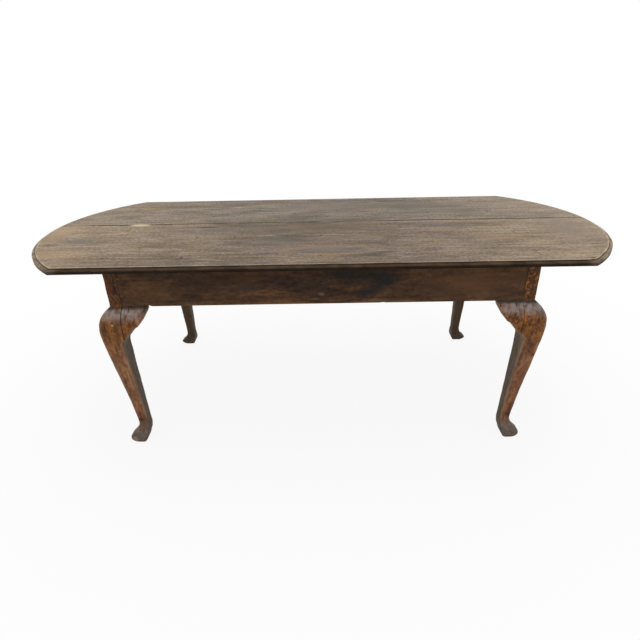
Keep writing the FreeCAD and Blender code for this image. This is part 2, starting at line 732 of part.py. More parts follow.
# Turn one corner's pieces into the four corners
for label, angle, x, y in CORNERS:
    finished(cut("jointed_leg_" + label, blank, leg_cutters), "leg_" + label, angle, x, y)
    finished(group("tenon_peg_set_" + label, corner_pegs), "tenon_pegs_" + label, angle, x, y)
    ways = ("long", "end") if angle in (0, 180) else ("end", "long")
    near_ear = group("near_ear_" + label, [bored_ear])
    finished(near_ear, "ear_%s_%s" % (label, ways[0]), angle, x, y)
    finished(mirrored("other_ear_" + label, bored_ear), "ear_%s_%s" % (label, ways[1]), angle, x, y)
    finished(group("ear_nail_set_" + label, ear_nails + other_ear_nails), "ear_nails_" + label, angle, x, y)
    glued = solid("glued_block_" + label, block.copy())
    finished(glued, "corner_block_" + label, angle, x, y, "<top_underside> - <corner_block_height>")

doc.recompute()

for thing in doc.Objects:
    if "Invalid" in thing.State or "Error" in thing.State:
        raise RuntimeError("failed: %s %s" % (thing.Name, thing.State))
for piece in parts:
    if piece.Shape.isNull() or not piece.Shape.isValid():
        raise RuntimeError("bad shape: %s" % piece.Label)

os.makedirs("parts", exist_ok=True)
for piece in parts:
    piece.Shape.exportStep("parts/%s.step" % piece.Label)
    print("%-28s %9.0f mm3, %d solids" % (piece.Label, piece.Shape.Volume, len(piece.Shape.Solids)))
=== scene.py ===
import math

import bmesh
import bpy
from mathutils import Matrix, Vector, noise


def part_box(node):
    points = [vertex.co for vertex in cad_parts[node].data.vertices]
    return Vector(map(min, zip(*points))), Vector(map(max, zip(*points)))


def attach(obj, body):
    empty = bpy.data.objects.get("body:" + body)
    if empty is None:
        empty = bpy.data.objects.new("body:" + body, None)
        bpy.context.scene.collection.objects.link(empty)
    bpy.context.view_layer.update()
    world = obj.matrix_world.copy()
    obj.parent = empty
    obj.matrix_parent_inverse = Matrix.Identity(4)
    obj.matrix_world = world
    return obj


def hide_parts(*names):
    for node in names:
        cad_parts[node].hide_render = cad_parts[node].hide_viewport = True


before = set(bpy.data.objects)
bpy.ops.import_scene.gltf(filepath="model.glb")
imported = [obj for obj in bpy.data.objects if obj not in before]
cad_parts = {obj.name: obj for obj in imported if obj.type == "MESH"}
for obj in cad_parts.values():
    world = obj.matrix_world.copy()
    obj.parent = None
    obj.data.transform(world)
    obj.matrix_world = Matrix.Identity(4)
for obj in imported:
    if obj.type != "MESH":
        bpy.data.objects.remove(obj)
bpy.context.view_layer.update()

scene = bpy.context.scene
scene.view_settings.view_transform = "Standard"

# The camera stands in front of the middle of the table, at eye height, and looks down on it
# with a slight turn and tilt. Its lens is a normal wide one.
EYE = Vector((0.0079, -1.879, 1.269))
LOOK_DOWN = 0.4666
LOOK_RIGHT = -0.0098
TILT = 0.0203
SENSOR = 36
FOCAL_PIXELS = 467.3
IMAGE_PIXELS = 640
camera = bpy.data.objects.new("camera", bpy.data.cameras.new("camera"))
camera.data.sensor_width = SENSOR
camera.data.lens = FOCAL_PIXELS / IMAGE_PIXELS * SENSOR
ahead = Vector((
    math.sin(LOOK_RIGHT) * math.cos(LOOK_DOWN),
    math.cos(LOOK_RIGHT) * math.cos(LOOK_DOWN),
    -math.sin(LOOK_DOWN)))
level = Vector((math.cos(LOOK_RIGHT), -math.sin(LOOK_RIGHT), 0))
down = ahead.cross(level)
camera_x = level * math.cos(TILT) + down * math.sin(TILT)
camera_y = level * math.sin(TILT) - down * math.cos(TILT)
camera_axes = Matrix((camera_x, camera_y, -ahead)).transposed().to_4x4()
camera.matrix_world = Matrix.Translation(EYE) @ camera_axes
scene.collection.objects.link(camera)
scene.camera = camera


# The studio: a pale floor that runs out of sight, a white world and three soft lamps. The
# world is white only to the camera, to gloss and through glass, so it doesn't flood the table.
def linear(code):
    """A colour written as an sRGB hex code, in linear light."""
    parts = [int(code[i:i + 2], 16) / 255 for i in (0, 2, 4)]
    return tuple(
        each / 12.92 if each <= 0.04045 else ((each + 0.055) / 1.055) ** 2.4 for each in parts) + (1,)


def add(tree, kind, inputs=(), stops=(), out=None, **settings):
    """Add a node with its settings, links, values and colour stops, and give its output.

    Inputs are named in a dict, or listed in the node's own order. For a MapRange that is the
    value, the range it comes from and the range it goes to. A text is a colour's hex code. A Mix
    is one of colours, and a Math multiplies unless its settings say otherwise.
    """
    node = tree.nodes.new("ShaderNode" + kind)
    usual = {"Mix": {"data_type": "RGBA"}, "Math": {"operation": "MULTIPLY"}}.get(kind, {})
    for name, value in {**usual, **settings}.items():
        setattr(node, name, value)
    sockets = [each for each in node.inputs if each.enabled]
    for name, value in (inputs.items() if isinstance(inputs, dict) else enumerate(inputs)):
        socket = sockets[name] if isinstance(name, int) else next(
            each for each in sockets if each.name == name)
        if isinstance(value, bpy.types.NodeSocket):
            tree.links.new(value, socket)
        else:
            socket.default_value = linear(value) if isinstance(value, str) else value
    for number, (place, code) in enumerate(stops):
        elements = node.color_ramp.elements
        stop = elements[number] if number < len(elements) else elements.new(place)
        stop.position = place
        stop.color = linear(code) if isinstance(code, str) else (code, code, code, 1)
    if out is not None:
        return node.outputs[out]
    return next((socket for socket in node.outputs if socket.enabled), None)


def seen_directly(tree):
    """One for what the camera sees, in gloss and through glass too, and nought for the rest."""
    path = add(tree, "LightPath").node.outputs
    seen = add(tree, "Math", [path["Is Camera Ray"], path["Is Glossy Ray"]], operation="MAXIMUM")
    return add(tree, "Math", [seen, path["Is Transmission Ray"]], operation="MAXIMUM")


world = bpy.data.worlds.new("studio")
scene.world = world
world.use_nodes = True
tree = world.node_tree
tree.nodes.clear()
soft = add(tree, "Background", {"Color": "f4f6fa", "Strength": 0.55})
white = add(tree, "Background", {"Color": "ffffff", "Strength": 1})
add(tree, "OutputWorld", {"Surface": add(tree, "MixShader", [seen_directly(tree), soft, white])})

FLOOR_RADIUS = 14
FLOOR_GLOW = 0.9
FLOOR_NEAR = 0.9
FLOOR_FAR = 2.2
floor_mesh = bmesh.new()
bmesh.ops.create_circle(floor_mesh, cap_ends=True, segments=64, radius=FLOOR_RADIUS)
floor_data = bpy.data.meshes.new("floor")
floor_mesh.to_mesh(floor_data)
floor_mesh.free()
floor = bpy.data.objects.new("floor", floor_data)
scene.collection.objects.link(floor)
floor_paint = bpy.data.materials.new("white studio paint")
floor_paint.use_nodes = True
tree = floor_paint.node_tree
tree.nodes.clear()
place = add(tree, "TexCoord", out="Object")
away = add(tree, "VectorMath", [place], operation="LENGTH", out="Value")
share = add(tree, "MapRange", [away, FLOOR_NEAR, FLOOR_FAR, FLOOR_GLOW, 1])
share = add(tree, "Math", [seen_directly(tree), share])
paint = add(tree, "BsdfDiffuse", {"Color": "e9e9e9"})
glow = add(tree, "Emission", {"Color": "ffffff", "Strength": 1})
add(tree, "OutputMaterial", {"Surface": add(tree, "MixShader", [share, paint, glow])})
floor_data.materials.append(floor_paint)

# Lamps: where each stands, what it faces, its width and height, power and tint
for name, place, target, width, height, power, tint in (
    ("overhead", (0.2, 0.5, 3.2), (0, 0, 0.7), 4, 2.6, 54, "fffdf8"),
    ("front_left", (-2.6, -2.9, 2.2), (-0.2, 0, 0.45), 2.2, 1.8, 34, "fff8ee"),
    ("front_right", (3, -2.4, 1.7), (0.3, 0, 0.45), 2, 1.6, 20, "f6f8ff"),
):
    light = bpy.data.lights.new(name, "AREA")
    light.shape = "RECTANGLE"
    light.size = width
    light.size_y = height
    light.energy = power
    light.color = linear(tint)[:3]
    lamp = bpy.data.objects.new(name, light)
    lamp.location = place
    lamp.rotation_euler = (Vector(target) - Vector(place)).to_track_quat("-Z", "Y").to_euler()
    scene.collection.objects.link(lamp)

# The top: two wide plain-sawn boards, tenoned and glued edge to edge, planed by hand and worn
# grey. The same thumbnail moulding runs round both, mitred where the straight edges meet the
# bowed ends.
MM = 0.001
front_low, front_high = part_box("top_board_front")
rear_low, rear_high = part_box("top_board_rear")
TOP_Z = front_high.z
UNDERSIDE_Z = front_low.z
HALF_LENGTH = front_high.x
HALF_WIDTH = rear_high.y
END_BOW = 222 * MM
BOW_RADIUS = (HALF_WIDTH ** 2 + END_BOW ** 2) / (2 * END_BOW)
BOW_CENTRE = HALF_LENGTH - BOW_RADIUS
BOW_ANGLE = math.asin(HALF_WIDTH / BOW_RADIUS)
CORNER_X = BOW_CENTRE + BOW_RADIUS * math.cos(BOW_ANGLE)
EDGE_STEP = 5 * MM
JOINT_ARRIS = 1.1 * MM
# The edge as steps inward and up or down, in millimetres: the lower arris, then the moulding
LOWER_ARRIS = [(0.5, 0.9), (0.9, 0.4)]
EDGE_RISE = 8.9
MOULDING = [
    (0.3, 1.3), (1, 0.9), (2.1, 1.25), (2.5, 1.3), (2.5, 1.1), (2.2, 0.8), (1, 0.25), (0.3, 0.05),
    (0.1, 0.85), (0.3, 0.65), (0.5, 0.35)]
PLANING = 0.8 * MM
HANDLING = 0.4 * MM
BOARD_CELL = 18 * MM
BOARD_WAVE = 0.45
# Knocks in the edges: the middle of the knock, its reach and its depth, in millimetres
KNOCKS = [
    ((-743, -484, 756), 16, 4.5),
    ((-705, -484, 757), 10, 2.5),
    ((-90, -484, 755), 13, 2.2),
    ((240, -484, 757), 18, 1.8),
    ((610, -484, 751), 9, 3),
    ((868, -476, 757), 12, 3.5),
    ((-300, 484, 755), 14, 3),
    ((520, 484, 754), 11, 2.5),
    ((1062, -230, 755), 13, 3),
    ((-1085, 160, 754), 15, 3),
]


def face_outward(bm):
    """Turn every face outward."""
    bmesh.ops.recalc_face_normals(bm, faces=bm.faces[:])


def stepped(bm, faces, steps):
    """Inset faces and raise them, by steps inward and outward in millimetres."""
    for inward, out in steps:
        bmesh.ops.inset_region(
            bm, faces=faces, thickness=inward * MM, depth=out * MM, use_even_offset=True)


def top_slab():
    """The whole top before it is sawn into its two boards."""
    bm = bmesh.new()
    foot_z = UNDERSIDE_Z + sum(up for _, up in LOWER_ARRIS) * MM
    start = bm.verts.new((CORNER_X, -HALF_WIDTH, foot_z))
    bmesh.ops.spin(
        bm, geom=[start], cent=(BOW_CENTRE, 0, 0), axis=(0, 0, 1), angle=2 * BOW_ANGLE,
        steps=round(2 * BOW_ANGLE * BOW_RADIUS / EDGE_STEP))
    left = bmesh.ops.duplicate(bm, geom=bm.verts[:] + bm.edges[:])["geom"]
    bmesh.ops.rotate(
        bm, verts=[item for item in left if isinstance(item, bmesh.types.BMVert)], cent=(0, 0, 0),
        matrix=Matrix.Rotation(math.pi, 3, "Z"))
    straights = []
    for side in (-1, 1):
        corners = [vert for vert in bm.verts if abs(vert.co.y - side * HALF_WIDTH) < 0.1 * MM]
        straights.append(bm.edges.new(corners))
    bmesh.ops.subdivide_edges(bm, edges=straights, cuts=round(2 * CORNER_X / EDGE_STEP))
    foot = bmesh.ops.contextual_create(bm, geom=bm.edges[:])["faces"][0]
    grown = bmesh.ops.extrude_face_region(bm, geom=[foot])["geom"]
    head = next(item for item in grown if isinstance(item, bmesh.types.BMFace))
    bmesh.ops.translate(bm, verts=head.verts[:], vec=(0, 0, EDGE_RISE * MM))
    face_outward(bm)
    stepped(bm, [head], MOULDING)
    stepped(bm, [foot], LOWER_ARRIS)
    return bm


def dent(spot, middle, reach, depth):
    """How deep a knock is at a spot."""
    near = (spot - Vector(middle) * MM).length / (reach * MM)
    return depth * MM * max(1 - near * near, 0)


def wear_edge(bm):
    """Uneven planing, handling and knocks along the moulded edge."""
    crest_z = TOP_Z - 0.2 * MM
    for vert in bm.verts:
        slow = noise.noise(vert.co * 9)
        quick = noise.noise(vert.co * 55 + Vector((3, 7, 1)))
        inward = Vector((-vert.co.x * 0.3, -vert.co.y, 0)).normalized()
        vert.co += inward * (abs(slow) * PLANING + abs(quick) * HANDLING)
        if UNDERSIDE_Z + 2 * MM < vert.co.z < crest_z:
            vert.co.z += (slow * 0.3 + quick * 0.2) * MM
        for knock in KNOCKS:
            push = inward if vert.co.z > crest_z else inward - Vector((0, 0, 0.6))
            vert.co += push * dent(vert.co, *knock)


def cut_across(bm, geometry, axis, low, high, step):
    """Cut geometry by planes across an axis, about a step apart, and give what it is then."""
    count = round((high - low) / step)
    for number in range(1, count):
        spot = Vector((0, 0, 0))
        spot[axis] = low + (high - low) * number / count
        normal = Vector((0, 0, 0))
        normal[axis] = 1
        geometry = bmesh.ops.bisect_plane(
            bm, geom=geometry, dist=MM / 1000, plane_co=spot, plane_no=normal)["geom"]
    return geometry


def wave_flats(bm):
    """Cut the flat faces into cells, and give them the shallow waves of a hand plane."""
    flats = [face for face in bm.faces if face.calc_area() > 0.02 and abs(face.normal.z) > 0.9]
    geometry = list(flats)
    for face in flats:
        geometry += face.edges[:] + face.verts[:]
    for axis, reach in ((0, HALF_LENGTH), (1, HALF_WIDTH)):
        geometry = cut_across(bm, geometry, axis, -reach, reach, BOARD_CELL)
    cells = {item for item in geometry if isinstance(item, bmesh.types.BMFace)}
    for vert in bm.verts:
        if vert.link_faces and all(face in cells for face in vert.link_faces):
            stretched = Vector((vert.co.x * 0.3, vert.co.y, vert.co.z))
            depth = noise.noise(stretched * 16) + 0.5 * noise.noise(stretched * 41) + 0.5
            sign = -1 if vert.co.z > (TOP_Z + UNDERSIDE_Z) / 2 else 1
            vert.co.z += sign * max(depth, 0) * BOARD_WAVE * MM


def dress(bm, name, material, angle=35, flat_above=0.01):
    """Make a named object of finished mesh code, smooth but for its sharp edges and its flats."""
    data = bpy.data.meshes.new(name)
    for face in bm.faces:
        face.smooth = face.calc_area() < flat_above
    bm.to_mesh(data)
    bm.free()
    data.set_sharp_from_angle(angle=math.radians(angle))
    if material:
        data.materials.append(material)
    piece = bpy.data.objects.new(name, data)
    scene.collection.objects.link(piece)
    return piece


def bore(piece, cutter):
    """Cut one object's mesh out of another's for good, and drop the cutter."""
    modifier = piece.modifiers.new("bore", "BOOLEAN")
    modifier.object = cutter
    modifier.operation = "DIFFERENCE"
    modifier.solver = "EXACT"
    evaluated = piece.evaluated_get(bpy.context.evaluated_depsgraph_get())
    uncut = piece.data
    piece.data = bpy.data.meshes.new_from_object(evaluated)
    piece.modifiers.clear()
    bpy.data.meshes.remove(uncut)
    bpy.data.objects.remove(cutter)


def tapered_bar(bm, sides, near, far, length, matrix):
    """Add a bar with a radius near and one far, centred by the matrix, and give its points."""
    return bmesh.ops.create_cone(
        bm, cap_ends=True, segments=sides, radius1=near, radius2=far, depth=length,
        matrix=matrix)["verts"]


def hand_over(piece, node):
    """Let a finished piece stand for its CAD node."""
    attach(piece, "root")
    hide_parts(node)


def wood(name):
    """An empty material for one of the table's woods or its iron."""
    material = bpy.data.materials.new(name)
    material.use_nodes = True
    material.node_tree.nodes.clear()
    return material, material.node_tree


def grain(tree, along, long_mm, wide_mm, detail=2, shift=(0, 0, 0), waver=0):
    """Blotches drawn out along the grain, each so long and so wide."""
    scale = [1000 / wide_mm] * 3
    scale[along] = 1000 / long_mm
    place = add(tree, "TexCoord", out="Object")
    place = add(tree, "Mapping", {"Vector": place, "Location": shift, "Scale": scale})
    return add(tree, "TexNoise", {
        "Vector": place, "Scale": 1, "Detail": detail, "Roughness": 0.55, "Distortion": waver})


def mottled(tree, colour, layers, dark):
    """Darken and lighten a colour in soft light. Each layer is a pattern and its share."""
    for pattern, share in layers:
        tone = add(tree, "ValToRGB", [pattern], [(0.32, dark), (0.68, 1 - dark)])
        colour = add(tree, "Mix", [share, colour, tone], blend_type="SOFT_LIGHT")
    return colour


def surfaced(tree, colour, roughness, height, strength, depth_mm, specular=0.5, metallic=0):
    """Give a material its colour, its gloss and a relief so many millimetres deep."""
    relief = add(tree, "Bump", {"Height": height, "Strength": strength, "Distance": depth_mm * MM})
    skin = add(tree, "BsdfPrincipled", {
        "Base Color": colour, "Roughness": roughness, "Specular IOR Level": specular,
        "Metallic": metallic, "Normal": relief})
    add(tree, "OutputMaterial", {"Surface": skin})


def stain(tree, under, code, share, middle, size):
    """Lay a soft-edged stain of a colour over another, at a place and of a size in millimetres."""
    place = add(tree, "TexCoord", out="Object")
    scale = [1000 / length if length else 0 for length in size]
    shift = [-length * MM * each for length, each in zip(middle, scale)]
    place = add(tree, "Mapping", {"Vector": place, "Location": shift, "Scale": scale})
    away = add(tree, "VectorMath", [place], operation="LENGTH", out="Value")
    narrow = min(each for each in size if each)
    ragged = grain(tree, 0, max(size) * 0.7, max(narrow * 0.5, 3), 3)
    away = add(tree, "Math", [ragged, 1.1, away], operation="MULTIPLY_ADD")
    away = add(tree, "Math", [away, 0.5])
    spread = add(tree, "ValToRGB", [away], [(0.4, share), (0.75, 0)])
    return add(tree, "Mix", [spread, under, code])


# Weathered oak, scrubbed and dry: a grey-brown skin mottled along the grain, with soft pinkish,
# tan and blue-grey drifts, dark pores and a few old spills. It has hardly any gloss.
TOP_DRIFTS = [
    (0.3, "5d564c"), (0.4, "685d52"), (0.47, "74665b"), (0.53, "7c6d61"), (0.6, "796a55"),
    (0.7, "66635d")]
# Height through the edge, as a share of the board's thickness, and the colour worn there. The near-black
# bands at the foot of the edge are a painted shadow line under the top
EDGE_BANDS = [
    (0, "120d09"), (0.07, "2a1e14"), (0.14, "21180f"), (0.46, "2d2116"), (0.54, "483524"), (0.62, "564330"),
    (0.8, "4c3c2e"), (0.88, "2b1f15"), (0.955, "382b1f"), (0.985, "8f7e6c")]
# Spills and worn places: colour, share, middle, and half its size, in millimetres
TOP_STAINS = [
    ("ad9678", 0.55, (-1030, -50, 0), (70, 150, 0)),
    ("a88f6d", 0.5, (-930, -330, 0), (160, 60, 0)),
    ("6f7067", 0.5, (-900, -180, 0), (110, 60, 0)),
    ("716b60", 0.45, (-960, 250, 0), (70, 60, 0)),
    ("33281e", 0.8, (-1069, -138, 0), (12, 14, 0)),
    ("4d4136", 0.5, (-996, -227, 0), (60, 22, 0)),
    ("38362d", 0.8, (-449, -15, 0), (66, 14, 0)),
    ("5e5f55", 0.6, (-400, -60, 0), (120, 40, 0)),
    ("2f2218", 0.8, (77, 225, 0), (14, 7, 0)),
    ("3a2c21", 0.7, (-77, 12, 0), (12, 6, 0)),
    ("2f2218", 0.7, (872, -455, 0), (16, 8, 0)),
    ("66645b", 0.45, (-175, -216, 0), (150, 70, 0)),
    ("97795a", 0.5, (21, -390, 0), (90, 24, 0)),
    ("877567", 0.6, (5, -310, 0), (190, 70, 0)),
    ("9c8166", 0.35, (651, -216, 0), (150, 50, 0)),
    ("a58a64", 0.5, (-806, 331, 0), (70, 34, 0)),
    ("6a645a", 0.6, (-596, 242, 0), (120, 40, 0)),
    ("8f6a46", 0.5, (-203, 359, 0), (60, 16, 0)),
    ("68665f", 0.5, (480, -20, 0), (160, 60, 0)),
    ("5f5c54", 0.5, (300, 300, 0), (220, 50, 0)),
    ("625649", 0.55, (-20, -30, 0), (400, 150, 0)),
    ("6a645c", 0.5, (520, 250, 0), (360, 170, 0)),
    ("746a62", 0.55, (30, 300, 0), (340, 140, 0)),
    ("85796e", 0.6, (960, -80, 0), (130, 330, 0)),
]
top_oak, tree = wood("weathered oak, scrubbed")
drift = grain(tree, 0, 300, 90, 2, waver=0.6)
colour = add(tree, "ValToRGB", [drift], TOP_DRIFTS)
# The ends are paler and more tan than the middle: partly rubbed most by hands, partly a painted sheen
place = add(tree, "TexCoord", out="Object")
whole = add(tree, "SeparateXYZ", [place]).node.outputs
sides = add(tree, "VectorMath", [place], operation="ABSOLUTE")
part = add(tree, "SeparateXYZ", [sides]).node.outputs
share = add(tree, "MapRange", [part["X"], 0.3, 1.05, 0, 0.72])
colour = add(tree, "Mix", [share, colour, "a4917b"])
share = add(tree, "MapRange", [whole["Y"], 0.039, 0.041, 0, 0.3])
colour = add(tree, "Mix", [share, colour, "7b776f"])
# Mottles of several sizes, each drawn out along the grain
broad = grain(tree, 0, 170, 60, 2, (3, 5, 2), waver=0.5)
fine = grain(tree, 0, 60, 12, 3)
scuffs = grain(tree, 0, 11, 10, 2, (5, 8, 3))
streaks = grain(tree, 0, 420, 14, 3, (2, 2, 9))
colour = mottled(tree, colour, [(broad, 0.3), (fine, 0.2), (scuffs, 0.42), (streaks, 0.28)], 0.08)
# Pores are about 0.3 mm wide on the real board, and drawn 2 mm wide so that they show
pores = grain(tree, 0, 26, 2.2, 2, (1, 7, 4))
specks = grain(tree, 0, 16, 7, 1, (8, 2, 6))
for pattern, stops, code in (
    (pores, [(0.6, 0), (0.76, 0.5)], "3a3026"),
    (specks, [(0.7, 0), (0.78, 0.8)], "332619"),
):
    share = add(tree, "ValToRGB", [pattern], stops)
    colour = add(tree, "Mix", [share, colour, code])
for row in TOP_STAINS:
    colour = stain(tree, colour, *row)
# A dark line along the glued joint, partly dirt and partly a painted shade of its gap, rubbed out in the
# middle, and pale filler near the left end
joint = add(tree, "Math", [whole["Y"], (front_high.y + rear_low.y) / 2], operation="SUBTRACT")
joint = add(tree, "Math", [joint], operation="ABSOLUTE")
joint = add(tree, "MapRange", [joint, 3.2 * MM, 7 * MM, 0.9, 0])
broken = grain(tree, 0, 130, 60, 2, (7, 4, 1))
broken = add(tree, "ValToRGB", [broken], [(0.36, 0.35), (0.5, 1)])
share = add(tree, "Math", [joint, broken])
colour = add(tree, "Mix", [share, colour, "241a12"])
for row in (
    ("c9b999", 1, (-752, 34, 0), (60, 24, 0)),
    ("7a6b5e", 0.8, (22, 40, 0), (50, 16, 0)),
    ("2a1f16", 0.9, (956, -313, 0), (34, 4, 0)),
    ("241a13", 0.85, (-736, -383, 0), (8, 8, 0)),
):
    colour = stain(tree, colour, *row)
# The edge's colours by height, with the painted shadow line along its foot
edge_height = add(tree, "MapRange", [whole["Z"], UNDERSIDE_Z, TOP_Z, 0, 1])
edge = add(tree, "ValToRGB", [edge_height], EDGE_BANDS)
ends = add(tree, "MapRange", [part["X"], 0.84, 0.93, 0, 0.9])
slope = add(tree, "ValToRGB", [edge_height], [
    (0.08, 0), (0.14, 0.5), (0.5, 0.5), (0.58, 1), (0.86, 1), (0.9, 0)])
slope = add(tree, "Math", [ends, slope])
edge = add(tree, "Mix", [slope, edge, "a8967f"])
rubbed = grain(tree, 0, 60, 30, 5, (5, 1, 9))
rubbed = add(tree, "ValToRGB", [rubbed], [(0.35, "9a9a9a"), (0.65, "ffffff")])
edge = add(tree, "Mix", [0.9, edge, rubbed], blend_type="MULTIPLY")
edge_share = add(tree, "ValToRGB", [edge_height], [(0.957, 1), (0.975, 0)])
colour = add(tree, "Mix", [edge_share, colour, edge])
# The underside is bare wood that was never scrubbed, gone dusty brown
down = add(tree, "NewGeometry", out="Normal")
down = add(tree, "SeparateXYZ", [down], out="Z")
down = add(tree, "MapRange", [down, -0.99, -0.9, 1, 0])
bare = add(tree, "ValToRGB", [streaks], [(0.35, "4a3828"), (0.65, "705640")])
colour = add(tree, "Mix", [down, colour, bare])
# The crest of the moulding is rubbed pale, in a line about 3 mm wide on the flat beside it
wide = add(tree, "Math", [HALF_WIDTH, part["Y"]], operation="SUBTRACT")
long = add(tree, "Math", [part["X"], BOW_CENTRE], operation="SUBTRACT")
long = add(tree, "Math", [long, 0], operation="MAXIMUM")
long = add(tree, "CombineXYZ", {"X": long, "Y": part["Y"]})
long = add(tree, "VectorMath", [long], operation="LENGTH", out="Value")
long = add(tree, "Math", [BOW_RADIUS, long], operation="SUBTRACT")
away = add(tree, "Math", [wide, long], operation="MINIMUM")
crest = add(tree, "MapRange", [away, 15.5 * MM, 19 * MM, 1, 0])
ends = add(tree, "MapRange", [ends, 0, 0.9, 0.5, 0.95])
crest = add(tree, "Math", [crest, ends])
share = add(tree, "Math", [1, edge_share], operation="SUBTRACT")
share = add(tree, "Math", [share, crest])
rubbed = grain(tree, 0, 60, 40, 4, (2, 6, 8))
rubbed = add(tree, "ValToRGB", [rubbed], [(0.4, 0.2), (0.55, 1)])
share = add(tree, "Math", [share, rubbed])
colour = add(tree, "Mix", [share, colour, "bba88f"])
gloss = add(tree, "ValToRGB", [drift], [(0.3, 0.75), (0.7, 0.82)])
relief = add(tree, "Math", [fine, 0.8, pores], operation="MULTIPLY_ADD")
surfaced(tree, colour, gloss, relief, 0.18, 0.6, specular=0.12)

# Where the pegs stand: every group's pegs as their middles and their lowest and highest points
PEG_RADIUS = 4.5 * MM
TOP_PEG_ROW = 157 * MM
# Pegs and holes are roughened by noise vectors, which would differ in each run without a seed
noise.seed_set(3)
# How much wider a peg's hole is than the peg, at its foot and at the head
PEG_ROOM = (0.2 * MM, 0.5 * MM)
HOLE_SIDES = 14
peg_places = {}
for place in ("bearer_left", "bearer_middle", "bearer_right", "end_left", "end_right", "posts"):
    group = "top_pegs_" + place
    low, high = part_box(group)
    columns = [low.x + PEG_RADIUS, high.x - PEG_RADIUS][:2 if place == "posts" else 1]
    rows = [low.y + PEG_RADIUS, high.y - PEG_RADIUS]
    if "bearer" in place:
        rows += [-TOP_PEG_ROW, TOP_PEG_ROW]
    peg_places[group] = [(x, y, low.z, high.z) for x in columns for y in rows]

for side, keep, joint_y in (("front", -1, front_high.y), ("rear", 1, rear_low.y)):
    bm = top_slab()
    wear_edge(bm)
    bmesh.ops.bisect_plane(
        bm, geom=bm.verts[:] + bm.edges[:] + bm.faces[:], dist=MM / 1000, plane_co=(0, joint_y, 0),
        plane_no=(0, -keep, 0), clear_outer=True)
    sawn = bmesh.ops.contextual_create(bm, geom=[edge for edge in bm.edges if edge.is_boundary])["faces"]
    arrises = [edge for face in sawn for edge in face.edges if edge.calc_length() > HALF_LENGTH]
    bmesh.ops.bevel(
        bm, geom=arrises, offset=JOINT_ARRIS, segments=3, profile=0.5, affect="EDGES", material=-1)
    face_outward(bm)
    wave_flats(bm)
    board = dress(bm, "board_" + side, top_oak)
    holes = bmesh.new()
    for places in peg_places.values():
        for x, y, low, high in places:
            made = tapered_bar(
                holes, HOLE_SIDES, PEG_RADIUS + PEG_ROOM[0], PEG_RADIUS + PEG_ROOM[1],
                2 * (TOP_Z - UNDERSIDE_Z), Matrix.Translation((x, y, TOP_Z - 2 * MM)))
            for vert in made:
                vert.co += noise.noise_vector(vert.co * 300) * 0.25 * MM
    bore(board, dress(holes, "peg_holes", None))
    hand_over(board, "top_board_" + side)

# Loose tenons: five short tongues of plain oak glued into mortises in both boards. They lie
# wholly inside the joint, so the CAD solids stay.
# Old sawn oak that was never stained: dusty brown, with coarse saw marks across the grain
sawn_oak = {}
for along, way in enumerate(("along the table", "across the table", "upright")):
    sawn_oak[along], tree = wood("sawn oak, grain " + way)
    drift = grain(tree, along, 240, 30, 4, waver=0.5)
    colour = add(tree, "ValToRGB", [drift], [
        (0.3, "4a3828"), (0.45, "6a5138"), (0.58, "7c6044"), (0.72, "5a4632")])
    lines = grain(tree, along, 120, 2.2, 3)
    share = add(tree, "ValToRGB", [lines], [(0.45, 0), (0.7, 0.6)])
    colour = add(tree, "Mix", [share, colour, "382a1d"])
    saw = grain(tree, along, 5, 60, 1)
    relief = add(tree, "Math", [saw, 0.8, lines], operation="MULTIPLY_ADD")
    surfaced(tree, colour, 0.8, relief, 0.5, 0.8)
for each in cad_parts["top_loose_tenons"].material_slots:
    each.material = sawn_oak[0]


# Top pegs: riven oak, whittled to eight sides and driven through the boards into the frame.
# Their end grain has gone darker than the boards and stands level with them.
# A peg's radius at its head and at its foot, as shares, and how far it is turned
PEG_TAPER = (0.97, 0.86)
PEG_TURN = 0.3
# The dome of a head as steps inward and up, in millimetres
PEG_DOME = [(0.6, 0.12), (1.2, 0.1)]


def whittled_peg(bm, radius, head, way, length):
    """An eight-sided peg with its domed head at a place, driven the way given."""
    turn = way.to_track_quat("Z", "Y").to_matrix().to_4x4()
    made = tapered_bar(
        bm, 8, radius * PEG_TAPER[0], radius * PEG_TAPER[1], length,
        Matrix.Translation(head + way * length / 2) @ turn @ Matrix.Rotation(PEG_TURN, 4, "Z"))
    for vert in made:
        vert.co += noise.noise_vector(vert.co * 400) * 0.2 * MM
    bm.normal_update()
    heads = {face for vert in made for face in vert.link_faces if face.normal.dot(way) < -0.95}
    stepped(bm, list(heads), PEG_DOME)


# Oak end grain, dirty and rubbed: brown-grey with darker spots, and three heads nearly black
peg_oak, tree = wood("oak end grain, dirty")
spots = grain(tree, 2, 3, 3, 2)
colour = add(tree, "ValToRGB", [spots], [(0.35, "42352a"), (0.55, "5a4a3c"), (0.75, "6e5d4d")])
for x, y in ((-736, -385), (-468, -389), (-468, -157)):
    colour = stain(tree, colour, "2a1a12", 0.9, (x, y, 0), (14, 14, 0))
surfaced(tree, colour, 0.7, spots, 0.4, 0.3, specular=0.25)
for group, places in peg_places.items():
    bm = bmesh.new()
    for x, y, low, high in places:
        whittled_peg(bm, PEG_RADIUS, Vector((x, y, high)), Vector((0, 0, -1)), high - low)
    face_outward(bm)
    hand_over(dress(bm, group.replace("top_pegs", "pegs"), peg_oak, 25), group)

# Aprons: four deep oak boards on edge, tenoned and pegged into the posts. Their faces keep
# the shallow waves of a hand plane, and their lower edges are rubbed and knocked.
PLANE_WAVE = 0.35 * MM
ARRIS = 1.6 * MM
EASED_FROM = 40 * MM
APRON_KNOCKS = [((-608, -400, 588), 15, 4), ((214, -400, 588), 9, 1.6), ((505, 400, 588), 12, 2.5)]
